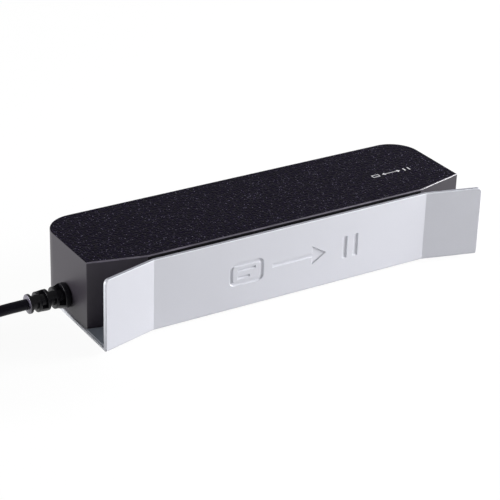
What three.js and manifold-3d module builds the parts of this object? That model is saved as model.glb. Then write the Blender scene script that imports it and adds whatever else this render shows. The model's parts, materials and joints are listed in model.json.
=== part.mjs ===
// Swipe reader for identity documents, in millimetres.
// X runs along the slot, +Y from the guide to the back of the housing, +Z up.
// The origin lies under the middle of the reader, in the plane that its feet stand on.

import * as THREE from 'three';
import { mergeVertices } from 'three/addons/utils/BufferGeometryUtils.js';
import Module from 'manifold-3d';

const wasm = await Module();
wasm.setup();

// Clearances and counts that all pieces share
const seatGap = 0.3;
const screwClearance = 0.25;
const cutOverrun = 1;
const weldDistance = 0.0001;
const smallArcSteps = 5;
const largeArcSteps = 10;
const roundSides = 20;
const screwSides = 12;
const hexagonSides = 6;

// Guide: one sheet, bent to a J section, with both ends of its wall flared outward
const guideLength = 180;
const flareRun = 24.7;
const flareOut = 6.7;
const sheet = 1.6;
const wallHeight = 31.3;
const bendOuterRadius = 2;
const bendInnerRadius = 0.5;
const flareCornerRadius = 2;
const stripDepth = 6;
const plateSetback = 0.6;
const slotWidth = 2.8;

// Cover: moulded housing, open below
const coverEndStep = 0.7;
const coverDepth = 47.9;
const leadInRun = 23.7;
const leadInDepth = 5.85;
const coverWall = 2;
const coverTop = 2.2;
const coverCornerRadius = 12.8;
const topBevel = 0.5;
const ribWidth = 1.4;
const ribDrop = 1.8;
const ribCount = 7;
const ribEndInset = 20;

// Bosses that take the screws from below
const bossRadius = 3.6;
const bossHoleRadius = 1.5;
const bossFromEnd = 13.3;
const bossFromFront = 9.4;
const bossFromRear = 8.6;
const screwShankRadius = 1.25;
const screwHeadRadius = 2.7;
const screwHeadHeight = 1.4;
const screwLength = 9;

// Feet
const footHeight = 1.5;
const footRadius = 5.5;
const footRim = 0.4;
const footFromEnd = 28;
const footFromFront = 10;
const footFromRear = 9;

// Wear strip on the floor of the slot
const linerThickness = 0.8;

// Scan window in the front wall of the cover
const windowFromLeftEnd = 75.3;
const windowWidth = 17;
const windowThickness = 1.1;
const windowLip = 1.4;
const windowAboveLiner = 1.4;
const windowBelowCeiling = 0.55;
const windowRecess = 0.05;
const gasketThickness = 1.2;
const gasketRim = 1.6;

// Optics housing behind the window
const chamberWall = 1.5;
const lampZone = 5;
const chamberToRibs = 1;
const mirrorThickness = 1.1;
const apertureRadius = 4;
const collarLength = 9;
const collarWall = 1.6;
const barrelRadius = 5.6;
const barrelLength = 13;
const barrelWall = 1;
const lensRadius = 4.2;
const lensBulge = 0.9;
const lensRim = 0.8;
const sensorDistance = 18;
const sensorBoardWidth = 15;
const sensorBoardTopStep = 1.05;
const boardThickness = 1.6;
const sensorSize = 8;
const sensorThickness = 1.2;
const stopThickness = 2;
const slabThickness = 2;
const lampBoardThickness = 1;
const lampBoardEndGap = 0.55;
const lampSize = 1.6;
const lampHeight = 0.8;
const lampsPerBoard = 4;

// Sensors that see a document enter
const presenceFromWindow = 19;
const presenceNoseRadius = 1.1;
const presenceHoleRadius = 1.4;
const presenceBody = 4.6;
const presenceDepth = 4;
const presenceAboveLiner = 8;

// Magnetic head, which yields into the housing as a document passes
const headPlaceShare = 0.7027;
const headWidth = 14;
const headHeight = 13;
const headDepth = 11;
const headNoseRadius = 14;
const headProud = 0.9;
const headAboveLiner = 10.5;
const headClearance = 0.4;
const springThickness = 0.3;
const springHeight = 7;
const springOverhang = 10;
const springWaist = 4;
const uprightWidth = 6;
const uprightDepth = 4;
const uprightRise = 6;
const bracketDepth = 10;
const ribbonThickness = 0.3;
const ribbonWidth = 6;
const ribbonSag = 1.2;

// Main board and what stands on it
const boardFromLeftEnd = 31.3;
const boardFromRightEnd = 29.3;
const boardToRearWall = 0.9;
const boardHeight = 5.6;
const boardInsetShare = 0.195;
const boardHoleRadius = 1.5;
const standoffRadius = 2.6;
const panHeadRadius = 2.2;
const panHeadHeight = 1.3;
const boardScrewLength = 4;
const partGap = 1;
const processorSizeShare = 0.8;
const processorPlaceShare = 0.37;
const processorThickness = 1.4;
const capacitorRadius = 3.2;
const capacitorHeight = 7;
const capacitorPlaceShare = 0.62;
const buzzerRadiusShare = 0.34;
const buzzerPlaceShare = 0.83;
const buzzerHeight = 6.5;
const buzzerHoleRadius = 1;
const headerWidthShare = 0.5;
const headerDepth = 5.5;
const headerHeight = 8;
const socketWidth = 9;
const socketDepth = 4;
const socketHeight = 3;

// Lead inside the housing and its clamp
const cordDiameter = 4.5;
const glandDepthShare = 0.4927;
const glandAboveFloor = 7.7;
const clampFromWall = 6;
const clampLength = 7;
const clampWall = 2.6;
const clampScrewDepth = 3.4;
const innerLeadSides = 8;

// Strain relief: a tapered boot with slots, so that it bends evenly
const bootFlangeRadius = 6;
const bootFlangeThickness = 1.6;
const bootNeckRadius = 4.3;
const bootShoulderRadius = 5.2;
const bootShoulderLength = 2.3;
const bootFirstRingRadius = 4.5;
const bootLastRingRadius = 4;
const bootCoreRadius = 2.9;
const bootRingLength = 2.15;
const bootSlotWidth = 1.5;
const bootRings = 4;
const bootBridgeWidth = 2.2;
const bootRimRound = 0.35;

// Cord outside the housing
const cordSides = 10;
const leadSteps = 8;
const tailSteps = 7;
const coilCentreX = -170;
const coilCentreY = 0;
const coilInnerRadius = 20.8;
const loopPitch = 5.8;
const layerPitch = 5.1;
const layerTurns = 2.25;
const lastLayerTurns = 1.5;
const climbTurns = 0.5;
const coilLayers = 4;
const coilStartAngle = THREE.MathUtils.degToRad(48);
const coilSides = 6;
const coilStepsPerTurn = 24;
const tieThickness = 0.7;
const tieWidth = 8;
const tieClearance = 0.5;

// Plug on the end of the cord
const plugNeckRadius = 3.2;
const plugNeckLength = 7;
const plugBodyLength = 28;
const plugBodyWidth = 15.6;
const plugBodyTailWidth = 11;
const plugBodyThickness = 8;
const plugBodyBevel = 1.1;
const plugBodyCorner = 2;
const plugShellLength = 12;
const plugShellWidth = 12;
const plugShellHeight = 4.5;
const plugShellWall = 0.35;
const plugLatchSize = 2.4;
const plugLatchFromMouth = 5.2;
const plugLatchSpacing = 5.6;
const plugTongueThickness = 1.7;
const plugTongueSetback = 0.8;

// Free stretch of the cord from the strain relief, level at first and then down to the table.
// The last stretch is straight and meets the coil.
const leadRoute = [
  [-113.5, 5.2, 10.8],
  [-119, 5.3, 10.6],
  [-124.5, 6.5, 9.7],
  [-129.3, 9.3, 8],
  [-133.5, 12.6, 6],
];

// Free stretch from the coil's end, in over the top of its turns and down into the plug
const tailRoute = [
  [-138.4, -6.2, 18.6],
  [-137.8, 1.6, 18.9],
  [-140.4, 9.1, 20.2],
  [-146.2, 14.7, 22.4],
  [-153.5, 17.3, 24.4],
];
const plugNeckX = -165.7;
const plugNeckY = 15;
const plugHeading = THREE.MathUtils.degToRad(198);

// Planes that more than one piece uses
const halfLength = guideLength / 2;
const bendX = halfLength - flareRun;
const flareAngle = Math.atan2(flareOut, flareRun);
const totalDepth = flareOut + sheet + slotWidth + coverDepth;
const wallFrontY = flareOut - totalDepth / 2;
const coverFrontY = wallFrontY + sheet + slotWidth;
const coverRearY = coverFrontY + coverDepth;
const coverHalf = halfLength - coverEndStep;
const coverFaceHalf = coverHalf - leadInRun;
const leadInAngle = Math.atan2(leadInDepth, leadInRun);
const plateLowZ = footHeight;
const plateTopZ = plateLowZ + sheet;
const topZ = plateLowZ + wallHeight;
const coverLowZ = plateTopZ + seatGap;
const ceilingZ = topZ - coverTop;
const linerLowZ = plateTopZ + seatGap / 2;
const linerTopZ = linerLowZ + linerThickness;
const innerFrontY = coverFrontY + coverWall;
const insideLowZ = plateTopZ + seatGap;
const windowLowZ = linerTopZ + windowAboveLiner;
const windowHeight = ceilingZ - windowBelowCeiling - windowLowZ;
const windowMiddleZ = windowLowZ + windowHeight / 2;
const headZ = linerTopZ + headAboveLiner;
const glandY = coverFrontY + coverDepth * glandDepthShare;
const glandZ = plateTopZ + glandAboveFloor;
const windowX = -coverHalf + windowFromLeftEnd;
const boardLeftX = -coverHalf + boardFromLeftEnd;
const boardRightX = coverHalf - boardFromRightEnd;
const headX = windowX + (boardRightX - windowX) * headPlaceShare;
const boardLowZ = insideLowZ + boardHeight - boardThickness;
const boardTopZ = boardLowZ + boardThickness;
const cordRadius = cordDiameter / 2;

// Finishes
function finish(color, roughness, metalness) {
  return new THREE.MeshStandardMaterial({ color, roughness, metalness });
}

const silverPaint = finish(0xcfd0d6, 0.42, 0.35);
const blackMoulding = finish(0x26222c, 0.62, 0);
const wearStrip = finish(0x4a4c50, 0.5, 0);
const darkRubber = finish(0x1b1b1d, 0.85, 0);
const cableJacket = finish(0x17161b, 0.38, 0);
const clearGlass = finish(0x9fb0b4, 0.08, 0);
const mirrorFace = finish(0xdfe4e8, 0.05, 1);
const matBlack = finish(0x141416, 0.8, 0);
const circuitGreen = finish(0x1f5a37, 0.5, 0);
const chipBlack = finish(0x18191b, 0.55, 0);
const screwSteel = finish(0xa9adb2, 0.35, 0.9);
const springSteel = finish(0xb9bec4, 0.25, 0.95);
const nickel = finish(0xc6c8ca, 0.22, 0.95);
const lampWhite = finish(0xf3efdc, 0.3, 0);
const ribbonAmber = finish(0xb06a1e, 0.45, 0);
const nylonWhite = finish(0xe6e3da, 0.55, 0);
const foamGrey = finish(0x303236, 0.95, 0);
const tongueBlack = finish(0x202226, 0.5, 0);

// Solids from geometries, and back
function toSolid(geometry) {
  const bare = new THREE.BufferGeometry();
  bare.setAttribute('position', geometry.getAttribute('position'));
  bare.setIndex(geometry.getIndex());
  const merged = mergeVertices(bare, weldDistance);
  const vertProperties = new Float32Array(merged.getAttribute('position').array);
  const triVerts = new Uint32Array(merged.getIndex().array);
  return new wasm.Manifold(new wasm.Mesh({ numProp: 3, vertProperties, triVerts }));
}

function toGeometry(solid) {
  const mesh = solid.getMesh();
  const geometry = new THREE.BufferGeometry();
  geometry.setAttribute('position', new THREE.BufferAttribute(mesh.vertProperties, 3));
  geometry.setIndex(new THREE.BufferAttribute(mesh.triVerts, 1));
  geometry.computeVertexNormals();
  return geometry;
}

function join(first, ...others) {
  return others.reduce((whole, piece) => whole.add(piece), first);
}

function cut(first, ...others) {
  return others.reduce((whole, piece) => whole.subtract(piece), first);
}

function pieceOf(name, geometry, material) {
  const mesh = new THREE.Mesh(geometry, material);
  mesh.name = name;
  return mesh;
}

function solidPiece(name, solid, material) {
  return pieceOf(name, toGeometry(solid), material);
}

// Boxes and rods by their end values along each axis
function boxGeometry([lowX, highX], [lowY, highY], [lowZ, highZ]) {
  const geometry = new THREE.BoxGeometry(highX - lowX, highY - lowY, highZ - lowZ);
  return geometry.translate((lowX + highX) / 2, (lowY + highY) / 2, (lowZ + highZ) / 2);
}

function box(spanX, spanY, spanZ) {
  return toSolid(boxGeometry(spanX, spanY, spanZ));
}

function spanAround(middle, width) {
  return [middle - width / 2, middle + width / 2];
}

function rodUp(lowRadius, topRadius, x, y, [lowZ, highZ], sides = roundSides) {
  const geometry = new THREE.CylinderGeometry(topRadius, lowRadius, highZ - lowZ, sides);
  return geometry.rotateX(Math.PI / 2).translate(x, y, (lowZ + highZ) / 2);
}

function rodAlongX(radius, [lowX, highX], y, z, sides = roundSides) {
  const geometry = new THREE.CylinderGeometry(radius, radius, highX - lowX, sides);
  return geometry.rotateZ(Math.PI / 2).translate((lowX + highX) / 2, y, z);
}

function rodAlongY(radius, x, [lowY, highY], z, sides = roundSides) {
  const geometry = new THREE.CylinderGeometry(radius, radius, highY - lowY, sides);
  return geometry.translate(x, (lowY + highY) / 2, z);
}

// A plan outline, raised from one height to another
function raised(outline, [lowZ, highZ], curveSegments = largeArcSteps) {
  const options = { depth: highZ - lowZ, bevelEnabled: false, curveSegments };
  return new THREE.ExtrudeGeometry(outline, options).translate(0, 0, lowZ);
}

// An outline drawn as seen from the front, carried from one depth to another
function carriedBack(outline, [lowY, highY], curveSegments = smallArcSteps) {
  const options = { depth: highY - lowY, bevelEnabled: false, curveSegments };
  const geometry = new THREE.ExtrudeGeometry(outline, options);
  return geometry.rotateX(Math.PI / 2).translate(0, highY, 0);
}

// A profile turned about an axis that lies along X, from its height values
function turnedAlongX(profile, sides = roundSides) {
  const points = profile.map(([radius, along]) => new THREE.Vector2(radius, along));
  return new THREE.LatheGeometry(points, sides).rotateZ(-Math.PI / 2);
}

// A profile turned about an upright axis
function turnedUp(profile, sides = roundSides) {
  const points = profile.map(([radius, height]) => new THREE.Vector2(radius, height));
  return new THREE.LatheGeometry(points, sides).rotateX(Math.PI / 2);
}

function roundedRectangle(width, height, radius) {
  const shape = new THREE.Shape();
  const x = width / 2 - radius;
  const y = height / 2 - radius;
  shape.absarc(x, y, radius, 0, Math.PI / 2);
  shape.absarc(-x, y, radius, Math.PI / 2, Math.PI);
  shape.absarc(-x, -y, radius, Math.PI, Math.PI * 1.5);
  shape.absarc(x, -y, radius, Math.PI * 1.5, Math.PI * 2);
  shape.closePath();
  return shape;
}

// A thin band that follows a smooth line through points of its plane
function bandOutline(points, thickness, steps) {
  const line = new THREE.SplineCurve(points.map(([x, y]) => new THREE.Vector2(x, y)));
  const left = [];
  const right = [];
  for (let step = 0; step <= steps; step += 1) {
    const place = line.getPoint(step / steps);
    const along = line.getTangent(step / steps);
    const across = new THREE.Vector2(-along.y, along.x).multiplyScalar(thickness / 2);
    left.push(place.clone().add(across));
    right.unshift(place.clone().sub(across));
  }
  return new THREE.Shape([...left, ...right]);
}

// Guide. Its faces stay parallel to the outer face of the wall, at a distance inward from it.
function flareFaceY(x, inward) {
  return wallFrontY + inward / Math.cos(flareAngle) - (x - bendX) * Math.tan(flareAngle);
}

function guideLine(inward) {
  const mitreX = bendX + inward * Math.tan(flareAngle / 2);
  const endY = flareFaceY(halfLength, inward);
  return [
    [-halfLength, endY],
    [-mitreX, wallFrontY + inward],
    [mitreX, wallFrontY + inward],
    [halfLength, endY],
  ];
}

function guideSection() {
  const section = new THREE.Shape();
  section.moveTo(0, wallHeight);
  section.lineTo(0, bendOuterRadius);
  section.absarc(bendOuterRadius, bendOuterRadius, bendOuterRadius, Math.PI, Math.PI * 1.5);
  section.lineTo(stripDepth, 0);
  section.lineTo(stripDepth, sheet);
  section.lineTo(sheet + bendInnerRadius, sheet);
  const innerBend = sheet + bendInnerRadius;
  section.absarc(innerBend, innerBend, bendInnerRadius, Math.PI * 1.5, Math.PI, true);
  section.lineTo(sheet, wallHeight);
  return section.extractPoints(smallArcSteps).shape;
}

// The section swept along the wall, mitred at both bends and cut square to X at both ends
function guideStrip() {
  const outline = mergeRepeats(guideSection());
  const stations = guideLine(0).length;
  const positions = [];
  for (let station = 0; station < stations; station += 1) {
    for (const point of outline) {
      const [x, y] = guideLine(point.x)[station];
      positions.push(x, y, plateLowZ + point.y);
    }
  }
  const count = outline.length;
  const indices = [];
  for (let station = 0; station < stations - 1; station += 1) {
    for (let side = 0; side < count; side += 1) {
      const here = station * count + side;
      const next = station * count + ((side + 1) % count);
      indices.push(here, next, here + count);
      indices.push(next, next + count, here + count);
    }
  }
  const cap = THREE.ShapeUtils.triangulateShape(outline, []);
  const lastRing = (stations - 1) * count;
  for (const [a, b, c] of cap) {
    indices.push(a, c, b);
    indices.push(lastRing + a, lastRing + b, lastRing + c);
  }
  const geometry = new THREE.BufferGeometry();
  geometry.setAttribute('position', new THREE.Float32BufferAttribute(positions, 3));
  geometry.setIndex(facingOut(positions, indices));
  return toSolid(geometry);
}

function mergeRepeats(points) {
  const apart = (a, b) => a.distanceTo(b) > weldDistance;
  return points.filter((point, i) => apart(point, points[(i + 1) % points.length]));
}

// The same triangles, turned over if they enclose a negative volume
function facingOut(positions, indices) {
  const corner = (i) => new THREE.Vector3().fromArray(positions, i * 3);
  let volume = 0;
  for (let i = 0; i < indices.length; i += 3) {
    const [a, b, c] = [corner(indices[i]), corner(indices[i + 1]), corner(indices[i + 2])];
    volume += a.dot(b.cross(c));
  }
  return volume > 0 ? indices : indices.slice().reverse();
}

function guidePlate() {
  const rearY = coverRearY - plateSetback;
  const front = guideLine(stripDepth / 2);
  const arcX = halfLength - coverCornerRadius;
  const arcY = rearY - coverCornerRadius;
  const outline = new THREE.Shape();
  outline.moveTo(...front[0]);
  for (const place of front.slice(1)) {
    outline.lineTo(...place);
  }
  outline.absarc(arcX, arcY, coverCornerRadius, 0, Math.PI / 2);
  outline.absarc(-arcX, arcY, coverCornerRadius, Math.PI / 2, Math.PI);
  outline.closePath();
  return toSolid(raised(outline, [plateLowZ, plateTopZ]));
}

// The guide as seen from the front: round top corners at both ends
function guideFace() {
  const arcX = halfLength - flareCornerRadius;
  const arcZ = topZ - flareCornerRadius;
  const face = new THREE.Shape();
  face.moveTo(-halfLength, plateLowZ);
  face.lineTo(halfLength, plateLowZ);
  face.absarc(arcX, arcZ, flareCornerRadius, 0, Math.PI / 2);
  face.absarc(-arcX, arcZ, flareCornerRadius, Math.PI / 2, Math.PI);
  face.closePath();
  const depth = [-totalDepth / 2 - cutOverrun, totalDepth / 2 + cutOverrun];
  return toSolid(carriedBack(face, depth));
}

function fourCorners([leftX, rightX], [frontY, rearY]) {
  return [
    [leftX, frontY],
    [rightX, frontY],
    [leftX, rearY],
    [rightX, rearY],
  ];
}

function coverScrewPlaces() {
  const x = coverHalf - bossFromEnd;
  return fourCorners([-x, x], [coverFrontY + bossFromFront, coverRearY - bossFromRear]);
}

// Standoffs for the main board, pressed into the plate
function plateStandoffs() {
  const height = [plateTopZ - sheet / 2, boardLowZ - seatGap];
  const reach = [plateTopZ, boardLowZ + cutOverrun];
  const bore = screwShankRadius + screwClearance;
  return boardHolePlaces().map(([x, y]) =>
    cut(
      toSolid(rodUp(standoffRadius, standoffRadius, x, y, height, hexagonSides)),
      toSolid(rodUp(bore, bore, x, y, reach)),
    ),
  );
}

function slotGuide() {
  const bent = join(guideStrip(), guidePlate()).intersect(guideFace());
  const body = join(bent, ...plateStandoffs());
  const shankHole = screwShankRadius + screwClearance;
  const headHole = screwHeadRadius + screwClearance;
  const below = plateLowZ - cutOverrun;
  const headTopZ = plateLowZ + screwHeadHeight;
  const cuts = [];
  for (const [x, y] of [...coverScrewPlaces(), clampScrewPlace()]) {
    cuts.push(toSolid(rodUp(shankHole, shankHole, x, y, [below, plateTopZ + cutOverrun])));
    cuts.push(toSolid(rodUp(headHole, shankHole, x, y, [plateLowZ, headTopZ])));
    cuts.push(toSolid(rodUp(headHole, headHole, x, y, [below, plateLowZ])));
  }
  for (const [x, y] of chassisScrewPlaces()) {
    cuts.push(toSolid(rodUp(shankHole, shankHole, x, y, [below, plateTopZ + cutOverrun])));
  }
  return solidPiece('slot_guide', cut(body, ...cuts), silverPaint);
}

// The strip's edges keep a gap to the wall's inner bend and to the cover's front
function slotLiner() {
  const wallSide = guideLine(sheet + bendInnerRadius + seatGap);
  const endX = halfLength - seatGap;
  const leadInY = (x) => coverFrontY - seatGap + Math.max(0, x - coverFaceHalf) * Math.tan(leadInAngle);
  const endFrontY = flareFaceY(endX, sheet + bendInnerRadius + seatGap);
  const outline = new THREE.Shape();
  outline.moveTo(-endX, endFrontY);
  outline.lineTo(...wallSide[1]);
  outline.lineTo(...wallSide[2]);
  outline.lineTo(endX, endFrontY);
  outline.lineTo(endX, leadInY(endX));
  outline.lineTo(coverFaceHalf, leadInY(coverFaceHalf));
  outline.lineTo(-coverFaceHalf, leadInY(coverFaceHalf));
  outline.lineTo(-endX, leadInY(endX));
  outline.closePath();
  return pieceOf('slot_liner', raised(outline, [linerLowZ, linerTopZ]), wearStrip);
}

// Cover. Its plan outline, drawn in from the outer faces by an inset.
function coverOutline(inset) {
  const frontY = coverFrontY + inset;
  const mitreX = coverFaceHalf - inset * Math.tan(leadInAngle / 2);
  const sideX = coverHalf - inset;
  const reach = sideX - coverFaceHalf;
  const cornerY = coverFrontY + inset / Math.cos(leadInAngle) + reach * Math.tan(leadInAngle);
  const radius = coverCornerRadius - inset;
  const arcX = coverHalf - coverCornerRadius;
  const arcY = coverRearY - coverCornerRadius;
  const outline = new THREE.Shape();
  outline.moveTo(-mitreX, frontY);
  outline.lineTo(mitreX, frontY);
  outline.lineTo(sideX, cornerY);
  outline.absarc(arcX, arcY, radius, 0, Math.PI / 2);
  outline.absarc(-arcX, arcY, radius, Math.PI / 2, Math.PI);
  outline.lineTo(-sideX, cornerY);
  outline.closePath();
  return outline;
}

function coverBlank() {
  const options = {
    depth: topZ - coverLowZ - topBevel,
    bevelEnabled: true,
    bevelThickness: topBevel,
    bevelSize: topBevel,
    bevelOffset: -topBevel,
    bevelSegments: 1,
    curveSegments: largeArcSteps,
  };
  const blank = new THREE.ExtrudeGeometry(coverOutline(0), options);
  blank.translate(0, 0, coverLowZ);
  const below = [coverLowZ - topBevel - cutOverrun, coverLowZ];
  const reach = [-guideLength, guideLength];
  return cut(toSolid(blank), box(reach, reach, below));
}

function ceilingRibs() {
  const firstX = -coverHalf + ribEndInset;
  const pitch = (2 * (coverHalf - ribEndInset)) / (ribCount - 1);
  const height = [ceilingZ - ribDrop, ceilingZ + coverTop / 2];
  const depth = [opticsFrontY, coverRearY - coverWall / 2];
  const ribs = [];
  for (let i = 0; i < ribCount; i += 1) {
    ribs.push(box(spanAround(firstX + i * pitch, ribWidth), depth, height));
  }
  return ribs;
}

function windowCuts() {
  const through = [coverFrontY - cutOverrun, innerFrontY + cutOverrun];
  const pane = [coverFrontY - cutOverrun, coverFrontY + windowRecess + windowThickness + seatGap];
  const sight = box(
    spanAround(windowX, windowWidth - 2 * windowLip),
    through,
    spanAround(windowMiddleZ, windowHeight - 2 * windowLip),
  );
  const rebate = box(
    spanAround(windowX, windowWidth + 2 * seatGap),
    pane,
    spanAround(windowMiddleZ, windowHeight + 2 * seatGap),
  );
  return [sight, rebate];
}

function presencePlaces() {
  return [windowX - presenceFromWindow, windowX + presenceFromWindow];
}

function topCover() {
  const cavity = toSolid(raised(coverOutline(coverWall), [coverLowZ - cutOverrun, ceilingZ]));
  const shell = cut(coverBlank(), cavity);
  const bossSpan = [coverLowZ, ceilingZ + coverTop / 2];
  const bosses = coverScrewPlaces().map(([x, y]) =>
    toSolid(rodUp(bossRadius, bossRadius, x, y, bossSpan)),
  );
  const holeSpan = [coverLowZ - cutOverrun, coverLowZ + screwLength + cutOverrun];
  const holes = coverScrewPlaces().map(([x, y]) =>
    toSolid(rodUp(bossHoleRadius, bossHoleRadius, x, y, holeSpan)),
  );
  const through = [coverFrontY - cutOverrun, innerFrontY + cutOverrun];
  const headOpening = box(
    spanAround(headX, headWidth + 2 * headClearance),
    through,
    spanAround(headZ, headHeight + 2 * headClearance),
  );
  const presenceZ = linerTopZ + presenceAboveLiner;
  const presenceHoles = presencePlaces().map((x) =>
    toSolid(rodAlongY(presenceHoleRadius, x, through, presenceZ)),
  );
  const glandSpan = [-coverHalf - cutOverrun, -coverHalf + coverWall + cutOverrun];
  const glandHole = toSolid(rodAlongX(bootNeckRadius + seatGap, glandSpan, glandY, glandZ));
  const body = join(shell, ...ceilingRibs(), ...bosses);
  const openings = [...windowCuts(), headOpening, ...presenceHoles, glandHole];
  return solidPiece('top_cover', cut(body, ...holes, ...openings), blackMoulding);
}

// One piece of the same shape at each place, named by its corner
const cornerNames = ['front_left', 'front_right', 'rear_left', 'rear_right'];

function atCorners(baseName, places, geometry, material) {
  return places.map(([x, y], i) => {
    const mesh = pieceOf(`${baseName}_${cornerNames[i]}`, geometry, material);
    mesh.position.set(x, y, 0);
    return mesh;
  });
}

// A countersunk screw, sunk into the underside of the plate
function countersunkScrew(tipZ) {
  const lowZ = plateLowZ + screwClearance;
  const neckZ = plateLowZ + screwHeadHeight;
  const profile = [
    [0, lowZ],
    [screwHeadRadius, lowZ],
    [screwShankRadius, neckZ],
    [screwShankRadius, tipZ],
    [0, tipZ],
  ];
  return turnedUp(profile, screwSides);
}

function coverScrews() {
  const geometry = countersunkScrew(plateLowZ + screwLength);
  return atCorners('cover_screw', coverScrewPlaces(), geometry, screwSteel);
}

function feet() {
  const top = footHeight - seatGap;
  const profile = [
    [0, 0],
    [footRadius - footRim, 0],
    [footRadius, footRim],
    [footRadius, top],
    [0, top],
  ];
  const x = halfLength - footFromEnd;
  const places = fourCorners([-x, x], [wallFrontY + footFromFront, coverRearY - footFromRear]);
  return atCorners('foot', places, turnedUp(profile), darkRubber);
}

// Scan window, set into the front wall from outside, and the foam frame behind the wall
function scanWindow() {
  const lowY = coverFrontY + windowRecess;
  const depth = [lowY, lowY + windowThickness];
  const pane = roundedRectangle(windowWidth, windowHeight, windowLip);
  const mesh = pieceOf('scan_window', carriedBack(pane, depth), clearGlass);
  mesh.position.set(windowX, 0, windowMiddleZ);
  return mesh;
}

function windowGasket() {
  const frame = roundedRectangle(windowWidth, windowHeight, windowLip);
  const sight = roundedRectangle(windowWidth - 2 * gasketRim, windowHeight - 2 * gasketRim, windowLip);
  frame.holes.push(sight);
  const lowY = innerFrontY + seatGap;
  const mesh = pieceOf('window_gasket', carriedBack(frame, [lowY, lowY + gasketThickness]), foamGrey);
  mesh.position.set(windowX, 0, windowMiddleZ);
  return mesh;
}

// Optics housing, in a frame of its own: X from the middle of the window, Y from its open front
const chamberInside = windowWidth;
const chamberWidth = chamberInside + 2 * chamberWall;
const mirrorZone = chamberInside;
const chamberDepth = lampZone + mirrorZone + chamberWall;
const opticalAxisY = lampZone + mirrorZone / 2;
const opticsFrontY = innerFrontY + gasketThickness + 2 * seatGap;
const chamberTopZ = ceilingZ - ribDrop - chamberToRibs;
const collarRadius = barrelRadius + seatGap + collarWall;
const sensorFaceX = -chamberWidth / 2 - sensorDistance;
const sensorBackX = sensorFaceX - boardThickness;
const slabLeftX = sensorBackX - seatGap - stopThickness;
const sensorBoardHeight = 2 * (chamberTopZ - sensorBoardTopStep - windowMiddleZ);
const lampBoardHeight = 2 * (chamberTopZ - chamberWall - lampBoardEndGap - windowMiddleZ);

function opticsHousing() {
  const half = chamberWidth / 2;
  const inside = spanAround(0, chamberInside);
  const slab = box([slabLeftX, half], [0, chamberDepth], [insideLowZ, insideLowZ + slabThickness]);
  const outer = box([-half, half], [0, chamberDepth], [insideLowZ, chamberTopZ]);
  const hollowZ = [insideLowZ + slabThickness, chamberTopZ - chamberWall];
  const hollow = box(inside, [-cutOverrun, chamberDepth - chamberWall], hollowZ);
  const collarSpan = [-half - collarLength, -half + chamberWall / 2];
  const collar = toSolid(rodAlongX(collarRadius, collarSpan, opticalAxisY, windowMiddleZ));
  const boreSpan = [-half - collarLength - cutOverrun, -half];
  const boreRadius = barrelRadius + seatGap;
  const bore = toSolid(rodAlongX(boreRadius, boreSpan, opticalAxisY, windowMiddleZ));
  const apertureSpan = [-half - cutOverrun, -half + chamberWall + cutOverrun];
  const aperture = toSolid(rodAlongX(apertureRadius, apertureSpan, opticalAxisY, windowMiddleZ));
  const saddle = box(
    [-half - collarLength, -half + chamberWall / 2],
    spanAround(opticalAxisY, collarRadius),
    [insideLowZ, windowMiddleZ - barrelRadius - seatGap],
  );
  const stopHeight = [insideLowZ, windowMiddleZ + sensorBoardHeight / 2];
  const stopWidth = spanAround(opticalAxisY, sensorBoardWidth);
  const stop = box([slabLeftX, slabLeftX + stopThickness], stopWidth, stopHeight);
  const notchWidth = spanAround(opticalAxisY, sensorSize);
  const notch = box(
    [slabLeftX - cutOverrun, slabLeftX + stopThickness + cutOverrun],
    notchWidth,
    [windowMiddleZ - sensorSize, stopHeight[1] + cutOverrun],
  );
  const whole = join(slab, outer, collar, saddle, cut(stop, notch));
  const hole = screwShankRadius + screwClearance;
  const holes = opticsScrewPlaces().map(([x, y]) =>
    toSolid(rodUp(hole, hole, x, y, [insideLowZ - cutOverrun, insideLowZ + slabThickness + cutOverrun])),
  );
  return solidPiece('optics_housing', cut(whole, hollow, bore, aperture, ...holes), matBlack);
}

function opticsScrewPlaces() {
  const x = (slabLeftX + stopThickness - chamberWidth / 2 - collarLength) / 2;
  const inset = 2 * panHeadRadius;
  return [
    [x, inset],
    [x, chamberDepth - inset],
  ];
}

function foldMirror() {
  const reach = chamberInside / 2 - seatGap;
  const length = 2 * (reach * Math.SQRT2 - mirrorThickness / 2);
  const lowZ = insideLowZ + slabThickness + seatGap;
  const height = chamberTopZ - chamberWall - seatGap - lowZ;
  const plate = new THREE.BoxGeometry(length, mirrorThickness, height);
  const mesh = pieceOf('fold_mirror', plate, mirrorFace);
  mesh.position.set(0, opticalAxisY, lowZ + height / 2);
  mesh.rotation.z = -Math.PI / 4;
  return mesh;
}

function lensBarrel() {
  const outer = barrelRadius;
  const inner = barrelRadius - barrelWall;
  const aperture = lensRadius - barrelWall;
  const profile = [
    [aperture, 0],
    [outer, 0],
    [outer, barrelLength],
    [inner, barrelLength],
    [inner, barrelWall],
    [aperture, barrelWall],
    [aperture, 0],
  ];
  const mesh = pieceOf('lens_barrel', turnedAlongX(profile), matBlack);
  mesh.position.set(-chamberWidth / 2 - seatGap - barrelLength, opticalAxisY, windowMiddleZ);
  return mesh;
}

function frontLens() {
  const steps = smallArcSteps;
  const profile = [];
  for (let i = 0; i <= steps; i += 1) {
    const share = i / steps;
    profile.push([lensRadius * share, lensBulge * share * share]);
  }
  for (let i = steps; i >= 0; i -= 1) {
    const share = i / steps;
    profile.push([lensRadius * share, lensBulge + lensRim + lensBulge * (1 - share * share)]);
  }
  const mesh = pieceOf('front_lens', turnedAlongX(profile), clearGlass);
  const depth = 2 * lensBulge + lensRim;
  const x = -chamberWidth / 2 - seatGap - barrelWall - depth;
  mesh.position.set(x, opticalAxisY, windowMiddleZ);
  return mesh;
}

function sensorBoard() {
  const geometry = boxGeometry(
    [sensorBackX, sensorFaceX],
    spanAround(opticalAxisY, sensorBoardWidth),
    spanAround(windowMiddleZ, sensorBoardHeight),
  );
  return pieceOf('sensor_board', geometry, circuitGreen);
}

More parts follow.
